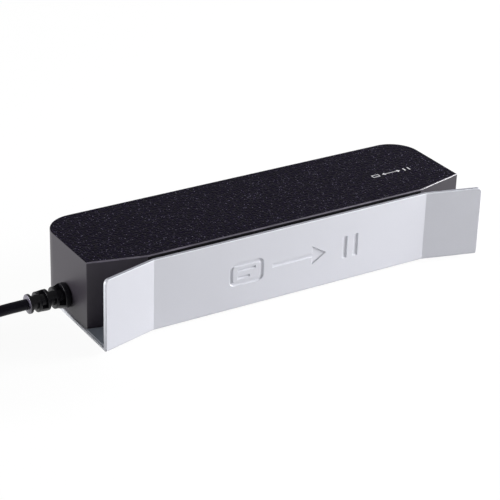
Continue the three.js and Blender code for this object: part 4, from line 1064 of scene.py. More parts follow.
@dataclass
class Guide:
    """The bent sheet: a wall with two flares, a tight bend, and a plate under the housing."""

    half_length: float = 0.09
    bend_x: float = 0.0653
    flare_out: float = 0.0067
    wall_y: float = -0.0228
    plate_z: float = 0.0015
    top_z: float = 0.0328
    sheet: float = 0.0016
    bend_radius: float = 0.0013
    rear_y: float = 0.0289
    rear_radius: float = 0.0128
    corner_radius: float = 0.002
    edge: float = 0.00034
    angle: float = 24
    screw_head: float = 0.00295
    screw_shank: float = 0.0015
    screw_margin: float = 0.0005
    sink_depth: float = 0.0014
    mark_depth: float = 0.0005
    mark_slope: float = 0.00042
    mark_low: float = 0.012
    mark_high: float = 0.0222
    mark_left: float = -0.031
    mark_right: float = 0.0312
    mark_line: float = 0.0018
    frame_ratio: float = 1.586
    frame_corner: float = 1.4
    text_lines: tuple = ((0.66, 0.76), (0.34, 0.6))
    text_inset: float = 2.1
    text_half: float = 0.36
    arrow: Point = (0.0042, 0.0232, 0.0302)
    barb: float = 2.4
    wall_width: float = 1.3
    wall_pitch: float = 3.0
    standoff_places: tuple = corners((-0.054607, 0.056607), (0.012593, 0.023207))
    standoff_radius: float = 0.0026
    standoff_top: float = 0.0071
    flat_up: float = 0.96
    rounded_up: float = 0.1
    rounded_front: float = -0.2

    def build(self) -> None:
        """Builds the guide and dresses it."""
        sheet = self.surface()
        thicken(sheet, self.sheet, -1.0)
        with Edit(sheet) as edit:
            edit.pick(Select.EDGE, lambda e: at(e, 2, self.plate_z) and self.is_front(e))
            edit.bevel(self.bend_radius, steps=10)
        soften(sheet, self.edge, self.angle, steps=3, clamp=False)
        boolean(sheet, Join.FUSE, *self.standoffs())
        boolean(sheet, Join.CUT, *self.screw_cutters(), *self.mark_cutters())
        polish(sheet, self.angle, crease=self.is_bend)
        # The second finish paints shade on the top edge; the third paints a highlight on the front
        # rounding and the ends.
        wear(sheet, GUIDE_PAINT, GUIDE_TOP_PAINTED_SHADE, GUIDE_PAINTED_HIGHLIGHT)
        self.assign(sheet)
        ready(sheet, HOUSING, "slot_guide")

    def surface(self) -> Piece:
        """Draws the outer face of the whole sheet, without thickness.

        Returns:
            The open surface, whose ends stand square to the flares.
        """
        run = self.half_length - self.bend_x
        end_x = self.half_length - self.sheet * math.sin(math.atan2(self.flare_out, run))
        end_out = self.flare_out * (end_x - self.bend_x) / run
        height = self.top_z - self.plate_z
        middle = (0, self.wall_y, self.plate_z + height / 2)
        bpy.ops.mesh.primitive_plane_add(size=1, location=middle, rotation=(math.pi / 2, 0, 0))
        bpy.context.object.scale = (2 * end_x, height, 1)
        piece = added("bent_guide")
        with Edit(piece) as edit:
            edit.split(Axis.X, -self.bend_x, self.bend_x)
            edit.pick(Select.VERT, self.is_outer)
            bpy.ops.transform.translate(value=(0, -end_out, 0))
            edit.pick(Select.EDGE, lambda e: at(e, 2, self.plate_z))
            edit.extrude((0, 2 * self.half_length, 0))
            edit.slice((0, self.rear_y, 0), Axis.Y.value)
            edit.pick(Select.VERT, lambda v: v.co.y > self.rear_y - NEAR and self.is_outer(v))
            edit.bevel(self.rear_radius, steps=20, points=True)
            edit.pick(Select.VERT, lambda v: v.co.z > self.top_z - NEAR and self.is_outer(v))
            edit.bevel(self.corner_radius, steps=8, points=True)
        return piece

    def is_outer(self, vert: object) -> bool:
        """Says whether a point lies beyond the upright bends."""
        return abs(vert.co.x) > self.bend_x + NEAR

    def is_front(self, edge: object) -> bool:
        """Says whether an edge runs along the foot of the wall."""
        return all(v.co.y < self.wall_y + NEAR for v in edge.verts) and edge.is_manifold

    def is_bend(self, edge: object) -> bool:
        """Says whether an edge lies in one of the two upright bends of the wall."""
        low, high = self.bend_x - NEAR, self.bend_x + self.sheet / 2
        return all(low < abs(v.co.x) < high for v in edge.verts) and is_creased(edge)

    def assign(self, sheet: Piece) -> None:
        """Gives the upward top edge a darker colour as painted shade, and the rounding in front of
        it and the end faces a lighter colour as a painted highlight.

        Args:
            sheet: the guide.
        """
        painted_top_shade, painted_highlight = index_of(sheet, GUIDE_TOP_PAINTED_SHADE), index_of(sheet, GUIDE_PAINTED_HIGHLIGHT)
        for face in sheet.data.polygons:
            x, _, z = face.center
            _, front, up = face.normal
            high = z > self.top_z - self.edge
            # The upward top edge gets a darker colour: painted shade.
            if high and up > self.flat_up:
                face.material_index = painted_top_shade
            # The rounding in front of the top edge and the end faces get a lighter colour: painted
            # highlight.
            elif high and up > self.rounded_up and front < self.rounded_front:
                face.material_index = painted_highlight
            elif looks(face, 0) and abs(x) > self.bend_x + self.sheet and z > 0:
                face.material_index = painted_highlight

    def screw_cutters(self) -> list[Piece]:
        """Makes the cutters of the countersunk holes.

        Returns:
            One cutter for each screw.
        """
        below = self.plate_z - self.screw_margin
        above = self.plate_z + self.sheet + self.screw_margin
        head, shank = self.screw_head, self.screw_shank
        profile = [
            (0, below), (head, below), (head, self.plate_z),
            (shank, self.plate_z + self.sink_depth), (shank, above), (0, above),
        ]
        places = (*SCREW_PLACES, CLAMP_PLACE)
        return [turned("countersink", profile, Axis.Z, (*p, 0), steps=40) for p in places]

    def mark_cutters(self) -> list[Piece]:
        """Makes the cutters of the pressed-in sign: a framed sheet, an arrow, and a slot's walls.

        Returns:
            The cutters.
        """
        low, high, line = self.mark_low, self.mark_high, self.mark_line
        left, right = self.mark_left, self.mark_right
        middle, thin = (low + high) / 2, line * self.text_half
        frame_end = left + (high - low) * self.frame_ratio
        cutters = [self.stamp(bar(left, frame_end, low, high), frame=True)]
        for share, reach in self.text_lines:
            z = low + (high - low) * share
            end = left + (frame_end - left) * reach
            cutters.append(self.stamp(bar(left + self.text_inset * line, end, z - thin, z + thin)))
        tail, neck, tip = (frame_end + reach for reach in self.arrow)
        wide = self.barb * line
        lower = [(tail, middle - line / 2), (neck, middle - line / 2), (neck, middle - wide)]
        upper = [(neck, middle + wide), (neck, middle + line / 2), (tail, middle + line / 2)]
        cutters.append(self.stamp([*lower, (tip, middle), *upper]))
        for end in (right, right - self.wall_pitch * line):
            cutters.append(self.stamp(bar(end - self.wall_width * line, end, low, high)))
        return cutters

    def stamp(self, outline: Sequence[Pair], frame: bool = False) -> Piece:
        """Makes the cutter of one form of the sign, with walls that lean a little.

        Args:
            outline: its corners, as pairs of X and Z.
            frame: True rounds the corners and leaves only a line along the outline.

        Returns:
            The cutter.
        """
        front = self.wall_y - OVERSHOOT
        piece = chain("stamp", [(x, front, z) for x, z in outline], closed=True)
        with Edit(piece) as edit:
            if frame:
                edit.all().bevel(self.frame_corner * self.mark_line, steps=8, points=True)
                edit.pick(Select.FACE, lambda f: True)
                bpy.ops.mesh.inset(thickness=self.mark_line, depth=0)
                bpy.ops.mesh.delete(type="FACE")
            edit.all().extrude((0, OVERSHOOT, 0))
            edit.tidy()
            edit.pick(Select.FACE, lambda f: at(f, 1, self.wall_y))
            bpy.ops.mesh.inset(thickness=self.mark_slope, depth=self.mark_depth)
            edit.tidy()
        return piece

    def standoffs(self) -> list[Piece]:
        """Makes the hexagonal standoffs that carry the main board.

        Returns:
            The standoffs, each with its bore.
        """
        made = []
        low, top = self.plate_z + self.sheet / 2, self.standoff_top
        for x, y in self.standoff_places:
            made.append(rod("post", self.standoff_radius, (x, y, low), (x, y, top), sides=6))
            ends = ((x, y, low - OVERSHOOT), (x, y, top + OVERSHOOT))
            boolean(made[-1], Join.CUT, rod("bore", self.screw_shank, *ends, sides=24))
        return made


@dataclass
class Cover:
    """The moulded housing, with lead-ins at the front corners and openings in its front wall."""

    half_length: float = 0.0893
    face_half: float = 0.0656
    lead_depth: float = 0.00585
    front_y: float = -0.0184
    rear_y: float = 0.0295
    low_z: float = 0.0034
    top_z: float = 0.0328
    wall: float = 0.002
    top: float = 0.0022
    rear_radius: float = 0.0128
    rim: float = 0.0005
    edge: float = 0.00018
    angle: float = 24
    split_x: float = 0.0705
    split_y: float = -0.005
    window_x: float = -0.014
    window_half: float = 0.0085
    window_low: float = 0.00545
    window_high: float = 0.03005
    window_lip: float = 0.0014
    window_rebate: float = 0.00145
    gap: float = 0.0003
    head_x: float = 0.038
    head_z: float = 0.01455
    head_half: Pair = (0.0074, 0.0069)
    opening_radii: Point = (0.0014, 0.001, 0.0008)
    sensor_x: Pair = (-0.033, 0.005)
    sensor_z: float = 0.01205
    sensor_radius: float = 0.0014
    gland: Point = (-0.0893, 0.0052, 0.0108)
    gland_radius: float = 0.0046
    boss_radius: float = 0.0036
    boss_bore: float = 0.0015
    boss_depth: float = 0.01
    ribs: int = 7
    rib_reach: float = 0.0693
    rib_width: float = 0.0014
    rib_drop: float = 0.0018
    rib_front: float = -0.0146
    print_depth: float = 0.00003
    sign_place: Pair = (0.0646, 0.002)
    sign_half: float = 0.0011
    frame_x: Pair = (-0.0098, -0.0062)
    frame_line: float = 0.0004
    arrow_half: Pair = (0.0032, 0.00018)
    arrow_head: Pair = (0.0031, 0.0048)
    bars_x: Pair = (0.0066, 0.009)
    bar_width: float = 0.0006
    front_least: float = -0.1
    front_flat: float = -0.9999
    up_least: float = 0.6

    def build(self) -> None:
        """Builds the cover and dresses it."""
        shell = self.shell()
        boolean(shell, Join.FUSE, *self.inner_forms())
        boolean(shell, Join.CUT, *self.boss_bores(), *self.wall_cutters())
        with Edit(shell) as edit:
            edit.pick(Select.EDGE, self.is_rim)
            edit.bevel(self.rim, steps=4)
            edit.split(Axis.X, -self.split_x, self.split_x)
            edit.split(Axis.Y, self.split_y)
        polish(shell, self.angle, crease=self.is_fold)
        wear(shell, COVER_GRAIN_WITH_PAINTED_GLINTS, COVER_SATIN, COVER_RIM_PAINTED_HIGHLIGHT, SLOT_FACE)
        self.assign(shell)
        ready(shell, HOUSING, "top_cover")
        ready(wear(self.sign(), COVER_PRINT), HOUSING)

    def shell(self) -> Piece:
        """Makes the outer form with its cavity.

        Returns:
            The shell, open below.
        """
        low = (-self.half_length, self.front_y, self.low_z)
        piece = block("housing_cover", low, (self.half_length, self.rear_y, self.top_z))
        angle = math.atan2(self.lead_depth, self.half_length - self.face_half)
        with Edit(piece) as edit:
            for side in SIDES:
                normal = (side * math.sin(angle), -math.cos(angle), 0)
                edit.slice((side * self.face_half, self.front_y, self.low_z), normal, fill=True)
            edit.pick(Select.EDGE, lambda e: at(e, 1, self.rear_y) and along(e, 2, self.wall))
            edit.bevel(self.rear_radius, steps=20)
            edit.pick(Select.FACE, lambda f: at(f, 2, self.low_z))
            bpy.ops.mesh.inset(thickness=self.wall, depth=0)
            edit.extrude((0, 0, self.top_z - self.top - self.low_z))
            edit.tidy()
            edit.pick(Select.EDGE, lambda e: along(e, 2, self.wall) and self.is_corner(e))
            edit.bevel(self.edge, steps=3)
        return piece

    def is_corner(self, edge: object) -> bool:
        """Says whether an edge lies where a lead-in meets an end face."""
        return all(abs(v.co.x) > self.half_length - NEAR and v.co.y < 0 for v in edge.verts)

    def is_rim(self, edge: object) -> bool:
        """Says whether an edge joins the top face to a side face."""
        joins = len(edge.link_faces) == 2 and any(not looks(f, 2) for f in edge.link_faces)
        return joins and at(edge, 2, self.top_z)

    def is_fold(self, edge: object) -> bool:
        """Says whether an edge lies where the front face meets a lead-in."""
        xs = [abs(v.co.x) - self.face_half for v in edge.verts if v.co.y < 0]
        return len(xs) == 2 and all(abs(x) < self.rim for x in xs) and is_creased(edge)

    def inner_forms(self) -> list[Piece]:
        """Makes the screw bosses and the ribs under the ceiling.

        Returns:
            The forms, each set a little into the wall that carries it.
        """
        embedded, drop = self.top_z - self.top / 2, self.top_z - self.top - self.rib_drop
        forms = [
            rod("boss", self.boss_radius, (*p, self.low_z), (*p, embedded), sides=40)
            for p in SCREW_PLACES
        ]
        for place in range(self.ribs):
            x = (2 * place / (self.ribs - 1) - 1) * self.rib_reach
            high = (x + self.rib_width / 2, self.rear_y - self.wall / 2, embedded)
            forms.append(block("rib", (x - self.rib_width / 2, self.rib_front, drop), high))
        return forms

    def boss_bores(self) -> list[Piece]:
        """Makes the cutters of the screws' bores."""
        low, high = self.low_z - OVERSHOOT, self.low_z + self.boss_depth
        return [rod("bore", self.boss_bore, (*p, low), (*p, high), sides=32) for p in SCREW_PLACES]

    def wall_cutters(self) -> list[Piece]:
        """Makes the cutters for the window, the head, the two sensors and the gland.

        Returns:
            The cutters.
        """
        left, right = self.window_x - self.window_half, self.window_x + self.window_half
        front, back = self.front_y - OVERSHOOT, self.front_y + self.wall + OVERSHOOT
        out, lip, (wide, tall) = self.gap, self.window_lip, self.head_half
        openings = [
            (left - out, right + out, self.window_low - out, self.window_high + out),
            (left + lip, right - lip, self.window_low + lip, self.window_high - lip),
            (self.head_x - wide, self.head_x + wide, self.head_z - tall, self.head_z + tall),
        ]
        depths = (self.front_y + self.window_rebate, back, back)
        cutters = []
        for (x, far_x, z, far_z), depth, radius in zip(openings, depths, self.opening_radii):
            cutters.append(block("opening", (x, front, z), (far_x, depth, far_z)))
            with Edit(cutters[-1]) as edit:
                edit.pick(Select.EDGE, lambda e: along(e, 1, OVERSHOOT))
                edit.bevel(radius, steps=5)
        for x in self.sensor_x:
            ends = ((x, front, self.sensor_z), (x, back, self.sensor_z))
            cutters.append(rod("sensor_hole", self.sensor_radius, *ends, sides=32))
        x, y, z = self.gland
        ends = ((x - OVERSHOOT, y, z), (x + self.wall + OVERSHOOT, y, z))
        return [*cutters, rod("gland_hole", self.gland_radius, *ends, sides=48)]

    def sign(self) -> Piece:
        """Builds the small printed sign on the top: a frame, an arrow each way, and two bars.

        Returns:
            The print, a thin layer of ink.
        """
        (x, y), tall, inset = self.sign_place, self.sign_half, self.frame_line
        left, right = (x + reach for reach in self.frame_x)
        inked = [self.ink(bar(left, right, y - tall, y + tall))]
        hollow = bar(left + inset, right - inset, y - tall + inset, y + tall - inset)
        boolean(inked[0], Join.CUT, self.ink(hollow, layers=4))
        reach, thin = self.arrow_half
        inked.append(self.ink(bar(x - reach, x + reach, y - thin, y + thin)))
        back, tip = self.arrow_head
        for side in SIDES:
            base = x + side * back
            inked.append(self.ink([(x + side * tip, y), (base, y + tall), (base, y - tall)]))
        for reach in self.bars_x:
            inked.append(self.ink(bar(x + reach, x + reach + self.bar_width, y - tall, y + tall)))
        return merged("printed_sign", inked)

    def ink(self, outline: Sequence[Pair], layers: int = 1) -> Piece:
        """Lays one form of the print, given as pairs of X and Y, on the top."""
        points = [(x, y, self.top_z) for x, y in outline]
        return raised("ink", points, (0, 0, layers * self.print_depth))

    def assign(self, shell: Piece) -> None:
        """Gives the walls and the slot's face their own finishes, and the front rim a lighter one
        that paints a highlight.

        Args:
            shell: the cover.
        """
        satin, rim, slot_face = (index_of(shell, f) for f in (COVER_SATIN, COVER_RIM_PAINTED_HIGHLIGHT, SLOT_FACE))
        for face in shell.data.polygons:
            low = min(shell.data.vertices[i].co.z for i in face.vertices)
            # The front rim gets the lighter colour: painted highlight.
            if face.normal.y < self.front_least and low > self.top_z - self.rim - NEAR:
                face.material_index = rim
            elif face.normal.y < self.front_flat and face.center.y < self.front_y + NEAR:
                face.material_index = slot_face
            elif face.normal.z < self.up_least:
                face.material_index = satin


@dataclass
class Boot:
    """The strain relief: a flange and neck in the wall, a shoulder outside, and slotted rings."""

    y: float = 0.0052
    z: float = 0.0108
    inner_x: float = 0.0854
    flange_radius: float = 0.006
    flange: float = 0.0016
    neck_radius: float = 0.0043
    shoulder_x: float = 0.0896
    shoulder_radius: float = 0.0052
    shoulder: float = 0.0023
    ring: float = 0.0013
    slot: float = 0.00235
    rings: int = 4
    first_radius: float = 0.0045
    last_radius: float = 0.004
    core_radius: float = 0.0029
    bridge: float = 0.0022
    rim: float = 0.0003
    rim_steps: int = 4
    turn_steps: int = 96
    slot_steps: int = 28

    def build(self) -> Piece:
        """Builds the boot and dresses it.

        Returns:
            The boot.
        """
        centre = (0, self.y, self.z)
        piece = turned("strain_relief_boot", self.profile(), Axis.X, centre, self.turn_steps)
        boolean(piece, Join.CUT, *self.slots())
        wear(polish(piece, angle=40), BOOT_RUBBER, BOOT_END_PAINTED_HIGHLIGHT)
        # The end face wears the lighter colour: painted highlight.
        for face in piece.data.polygons:
            if face.center.x < -self.end_x() + self.rim / 2:
                face.material_index = index_of(piece, BOOT_END_PAINTED_HIGHLIGHT)
        return ready(piece, HOUSING, "strain_relief")

    def rounding(self, x: float, radius: float, away: int) -> list[Pair]:
        """Draws a rounded edge, from the side of a ring to its outside.

        Args:
            x: the place of the ring's side.
            radius: the ring's radius.
            away: 1 or -1, the direction from that side into the ring.

        Returns:
            Pairs of place along X and radius.
        """
        turns = [step * math.pi / 2 / self.rim_steps for step in range(self.rim_steps + 1)]
        return [
            (x + away * self.rim * (1 - math.cos(t)), radius - self.rim * (1 - math.sin(t)))
            for t in turns
        ]

    def near_x(self, ring: int) -> float:
        """Returns the place where the slot before a ring starts, from the reader's middle."""
        return self.shoulder_x + self.shoulder + ring * (self.slot + self.ring)

    def end_x(self) -> float:
        """Returns the boot's reach from the middle of the reader."""
        return self.near_x(self.rings)

    def radius(self, ring: int) -> float:
        """Returns the radius of one ring."""
        return self.first_radius + (self.last_radius - self.first_radius) * ring / (self.rings - 1)

    def profile(self) -> list[Pair]:
        """Draws the turned form without its slots.

        Returns:
            Pairs of radius and place along X.
        """
        flange_x = self.inner_x + self.flange
        places = [
            (self.inner_x, 0.0), (self.inner_x, self.flange_radius), (flange_x, self.flange_radius),
            (flange_x, self.neck_radius), (self.shoulder_x, self.neck_radius),
            *self.rounding(self.shoulder_x, self.shoulder_radius, 1),
            (self.near_x(0), self.shoulder_radius),
        ]
        for ring in range(self.rings):
            start = self.near_x(ring) + self.slot
            places.append((start, self.radius(ring)))
            if ring < self.rings - 1:
                places.append((start + self.ring, self.radius(ring)))
        places += reversed(self.rounding(self.end_x(), self.last_radius, -1))
        return [(radius, -x) for x, radius in [*places, (self.end_x(), 0.0)]]

    def slots(self) -> list[Piece]:
        """Makes the slots' cutters: two arcs to a slot, which leave two bridges.

        Returns:
            The cutters.
        """
        cutters = []
        outside = self.shoulder_radius + OVERSHOOT
        half = math.asin(self.bridge / 2 / self.core_radius)
        for ring in range(self.rings):
            near = -self.near_x(ring)
            far = near - self.slot
            before = self.radius(ring - 1) if ring else self.shoulder_radius
            section = [
                (far, self.core_radius), (near, self.core_radius), *self.rounding(near, before, 1),
                (near + self.rim, outside), (far - self.rim, outside),
                *reversed(self.rounding(far, self.radius(ring), -1)),
            ]
            turn = half + (math.pi / 2 if ring % 2 else 0.0)
            for side in (0.0, math.pi):
                cutters.append(self.arc(section, turn + side, math.pi - 2 * half))
        return cutters

    def arc(self, section: Sequence[Pair], start: float, angle: float) -> Piece:
        """Makes one part of a ring, by spinning its filled section.

        Args:
            section: its corners, as pairs of place along X and radius.
            start: the angle at which it starts.
            angle: the angle that it covers.

        Returns:
            The cutter.
        """
        centre = (0.0, self.y, self.z)
        across = Vector((0, math.cos(start), math.sin(start)))
        points = [tuple(Vector((x, self.y, self.z)) + across * r) for x, r in section]
        return spun(chain("slot", points, closed=True), Axis.X, centre, self.slot_steps, angle)


@dataclass
class Cord:
    """The cable: a stretch down to the table, a round coil, and the stretch to its plug."""

    diameter: float = 0.0045
    exit: Point = (-0.1068, 0.0052, 0.0108)
    coil_centre: Pair = (-0.17, 0.0)
    inner_radius: float = 0.0208
    loop_pitch: float = 0.0058
    layer_pitch: float = 0.0051
    layer_turns: float = 2.25
    last_turns: float = 1.5
    climb_turns: float = 0.5
    layers: int = 4
    start_angle: float = math.radians(48)
    low_z: float = 0.00325
    steps_per_turn: int = 72
    gap: float = 0.0003
    lead_route: tuple = (
        (-0.1135, 0.0052, 0.0108), (-0.119, 0.0053, 0.0106), (-0.1245, 0.0065, 0.0097),
        (-0.1293, 0.0093, 0.008), (-0.1335, 0.0126, 0.006),
    )
    tail_route: tuple = (
        (-0.1384, -0.0062, 0.0186), (-0.1378, 0.0016, 0.0189), (-0.1404, 0.0091, 0.0202),
        (-0.1462, 0.0147, 0.0224), (-0.1535, 0.0173, 0.0244),
    )
    plug_neck: Point = PLUG_NECK
    plug_heading: float = PLUG_HEADING

    def build(self) -> Piece:
        """Builds the cord as one curve and dresses it.

        Returns:
            The cord.
        """
        points = self.path()
        data = bpy.data.curves.new("data_cord", "CURVE")
        data.dimensions = "3D"
        data.bevel_depth = self.diameter / 2
        data.bevel_resolution = 6
        data.use_fill_caps = True
        line = data.splines.new("POLY")
        line.points.add(len(points) - 1)
        for target, point in zip(line.points, points):
            target.co = (*point, 1.0)
        line.use_smooth = True
        piece = bpy.data.objects.new("data_cord", data)
        bpy.context.scene.collection.objects.link(piece)
        return ready(wear(piece, JACKET), HOUSING, "cord_lead", "cord_coil", "cord_tail")

    def length(self) -> float:
        """Returns the length of the cord's middle line."""
        points = self.path()
        return sum((b - a).length for a, b in zip(points, points[1:]))

    def path(self) -> list[Vector]:
        """Draws the middle line of the whole cord.

        Returns:
            Its points, from the boot to the plug.
        """
        coil, end_angle = self.coil()
        ahead, onward = self.heading(self.start_angle), self.heading(end_angle)
        start = Vector(self.exit)
        meet = coil[0] - ahead * (self.diameter + self.gap)
        lead = [start, start + Vector((-self.diameter, 0, 0)), *map(Vector, self.lead_route)]
        lead += [meet - ahead * self.diameter, meet]
        leave = coil[-1] + onward * (self.diameter + self.gap)
        into = Vector((math.cos(self.plug_heading), math.sin(self.plug_heading), 0))
        neck = Vector(self.plug_neck) - into * self.gap
        tail = [leave, leave + onward * self.diameter, *map(Vector, self.tail_route)]
        tail += [neck - into * self.diameter, neck]
        return [*smooth(lead), *coil, *smooth(tail)]

    def heading(self, angle: float) -> Vector:
        """Returns the direction of the winding at an angle of the coil."""
        return Vector((-math.sin(angle), math.cos(angle), 0))

    def plan(self) -> list[tuple[float, float, float, float, float]]:
        """Lists the coil's layers and climbs.

        Returns:
            For each, its turns, its first and last radius, and its first and last height.
        """
        outer = self.inner_radius + self.layer_turns * self.loop_pitch
        rows = []
        for layer in range(self.layers):
            last = layer == self.layers - 1
            turns = self.last_turns if last else self.layer_turns
            first = outer if layer % 2 == 0 else self.inner_radius
            final = first + (1 if layer % 2 else -1) * turns * self.loop_pitch
            height = self.low_z + layer * self.layer_pitch
            rows.append((turns, first, final, height, height))
            if not last:
                rows.append((self.climb_turns, final, final, height, height + self.layer_pitch))
        return rows

    def coil(self) -> tuple[list[Vector], float]:
        """Winds the coil.

        Returns:
            Its points and the angle at which it ends.
        """
        x, y = self.coil_centre
        angle = self.start_angle
        points = []
        for turns, first, final, low, high in self.plan():
            steps = round(turns * self.steps_per_turn)
            for step in range(1 if points else 0, steps + 1):
                share = step / steps
                here = angle + share * turns * math.tau
                radius = first + (final - first) * share
                height = low + (high - low) * share
                place = (x + radius * math.cos(here), y + radius * math.sin(here), height)
                points.append(Vector(place))
            angle += turns * math.tau
        return points, angle


def smooth(points: Sequence[Vector], steps: int = 10) -> list[Vector]:
    """Runs a centripetal curve through points.

    Args:
        points: the points that it passes.
        steps: the number of steps between two of them.

    Returns:
        The points of the curve.
    """
    padded = [points[0] * 2 - points[1], *points, points[-1] * 2 - points[-2]]
    line = [points[0].copy()]
    for span in zip(padded, padded[1:], padded[2:], padded[3:]):
        knots = [0.0]
        for first, second in zip(span, span[1:]):
            knots.append(knots[-1] + math.sqrt((second - first).length))
        for step in range(1, steps + 1):
            line.append(knotted(span, knots, knots[1] + (knots[2] - knots[1]) * step / steps))
    return line


def knotted(points: Sequence[Vector], knots: Sequence[float], place: float) -> Vector:
    """Finds the point of a curve through four points, by repeated blends.

    Args:
        points: the four points.
        knots: the value at which the curve passes each of them.
        place: the value whose point is wanted.

    Returns:
        The point.
    """
    row = list(points)
    for span, first in ((1, 0), (2, 0), (1, 1)):
        row = [
            a.lerp(b, (place - knots[i + first]) / (knots[i + first + span] - knots[i + first]))
            for i, (a, b) in enumerate(zip(row, row[1:]))
        ]
    return row[0]


@dataclass
class Tie:
    """The strap drawn tight round the coil's front, closed on itself with an overlap.

    The strap bends about the outer runs of the cord, which are given as pairs of Y and Z, in the
    order in which it meets them: along the table, up the coil's inner side, and back over its top.
    """

    x: float = -0.17
    runs: tuple = (
        (-0.03025, 0.00325), (-0.02445, 0.00325), (-0.02078, 0.00699), (-0.02155, 0.01345),
        (-0.02291, 0.01855), (-0.0287, 0.01855), (-0.03314, 0.01345),
    )
    reach: float = 0.00255
    width: float = 0.008
    thickness: float = 0.0007
    turn_step: float = 0.2
    lap_runs: tuple = (2, 3, 4)
    lap_gap: float = 0.00005
    lap_inset: float = 0.0004
    lap_corner: float = 0.0018
    edge: float = 0.0001

    def build(self) -> Piece:
        """Builds the strap and dresses it.

        Returns:
            The strap.
        """
        middle = self.reach + self.thickness / 2
        line = [point for place in range(len(self.runs)) for point in self.arc(place, middle)]
        return ready(self.band("coil_strap", [*line, line[0]], self.width / 2), HOUSING, "coil_tie")

    def lap(self) -> Piece:
        """Builds the strap's free end, which lies on its inner side.

        Returns:
            The free end.
        """
        middle = self.reach + self.thickness * 1.5 + self.lap_gap
        first, turn, last = (self.arc(place, middle) for place in self.lap_runs)
        line, half = [first[-1], *turn, last[0]], self.width / 2 - self.lap_inset
        return ready(self.band("strap_end", line, half, self.lap_corner), HOUSING)

    def arc(self, place: int, reach: float) -> list[Pair]:
        """Draws the strap's turn about one run of the cord.

        Args:
            place: the run's place in the list.
            reach: how far from the run's middle the turn goes.

        Returns:
            Pairs of Y and Z.
        """
        before, here, after = (self.runs[(place + step) % len(self.runs)] for step in (-1, 0, 1))
        first, last = (
            math.atan2(a[0] - b[0], b[1] - a[1]) for a, b in ((before, here), (here, after))
        )
        turn = (last - first) % math.tau
        steps = max(1, round(turn / self.turn_step))
        angles = [first + turn * step / steps for step in range(steps + 1)]
        return [(here[0] + reach * math.cos(t), here[1] + reach * math.sin(t)) for t in angles]

    def band(self, name: str, line: Sequence[Pair], half: float, corner: float = 0.0) -> Piece:
        """Makes and dresses a length of strap, with round corners where it doesn't close."""
        return wear(strip(name, line, self.x, half, self.thickness, self.edge, corner), STRAP)


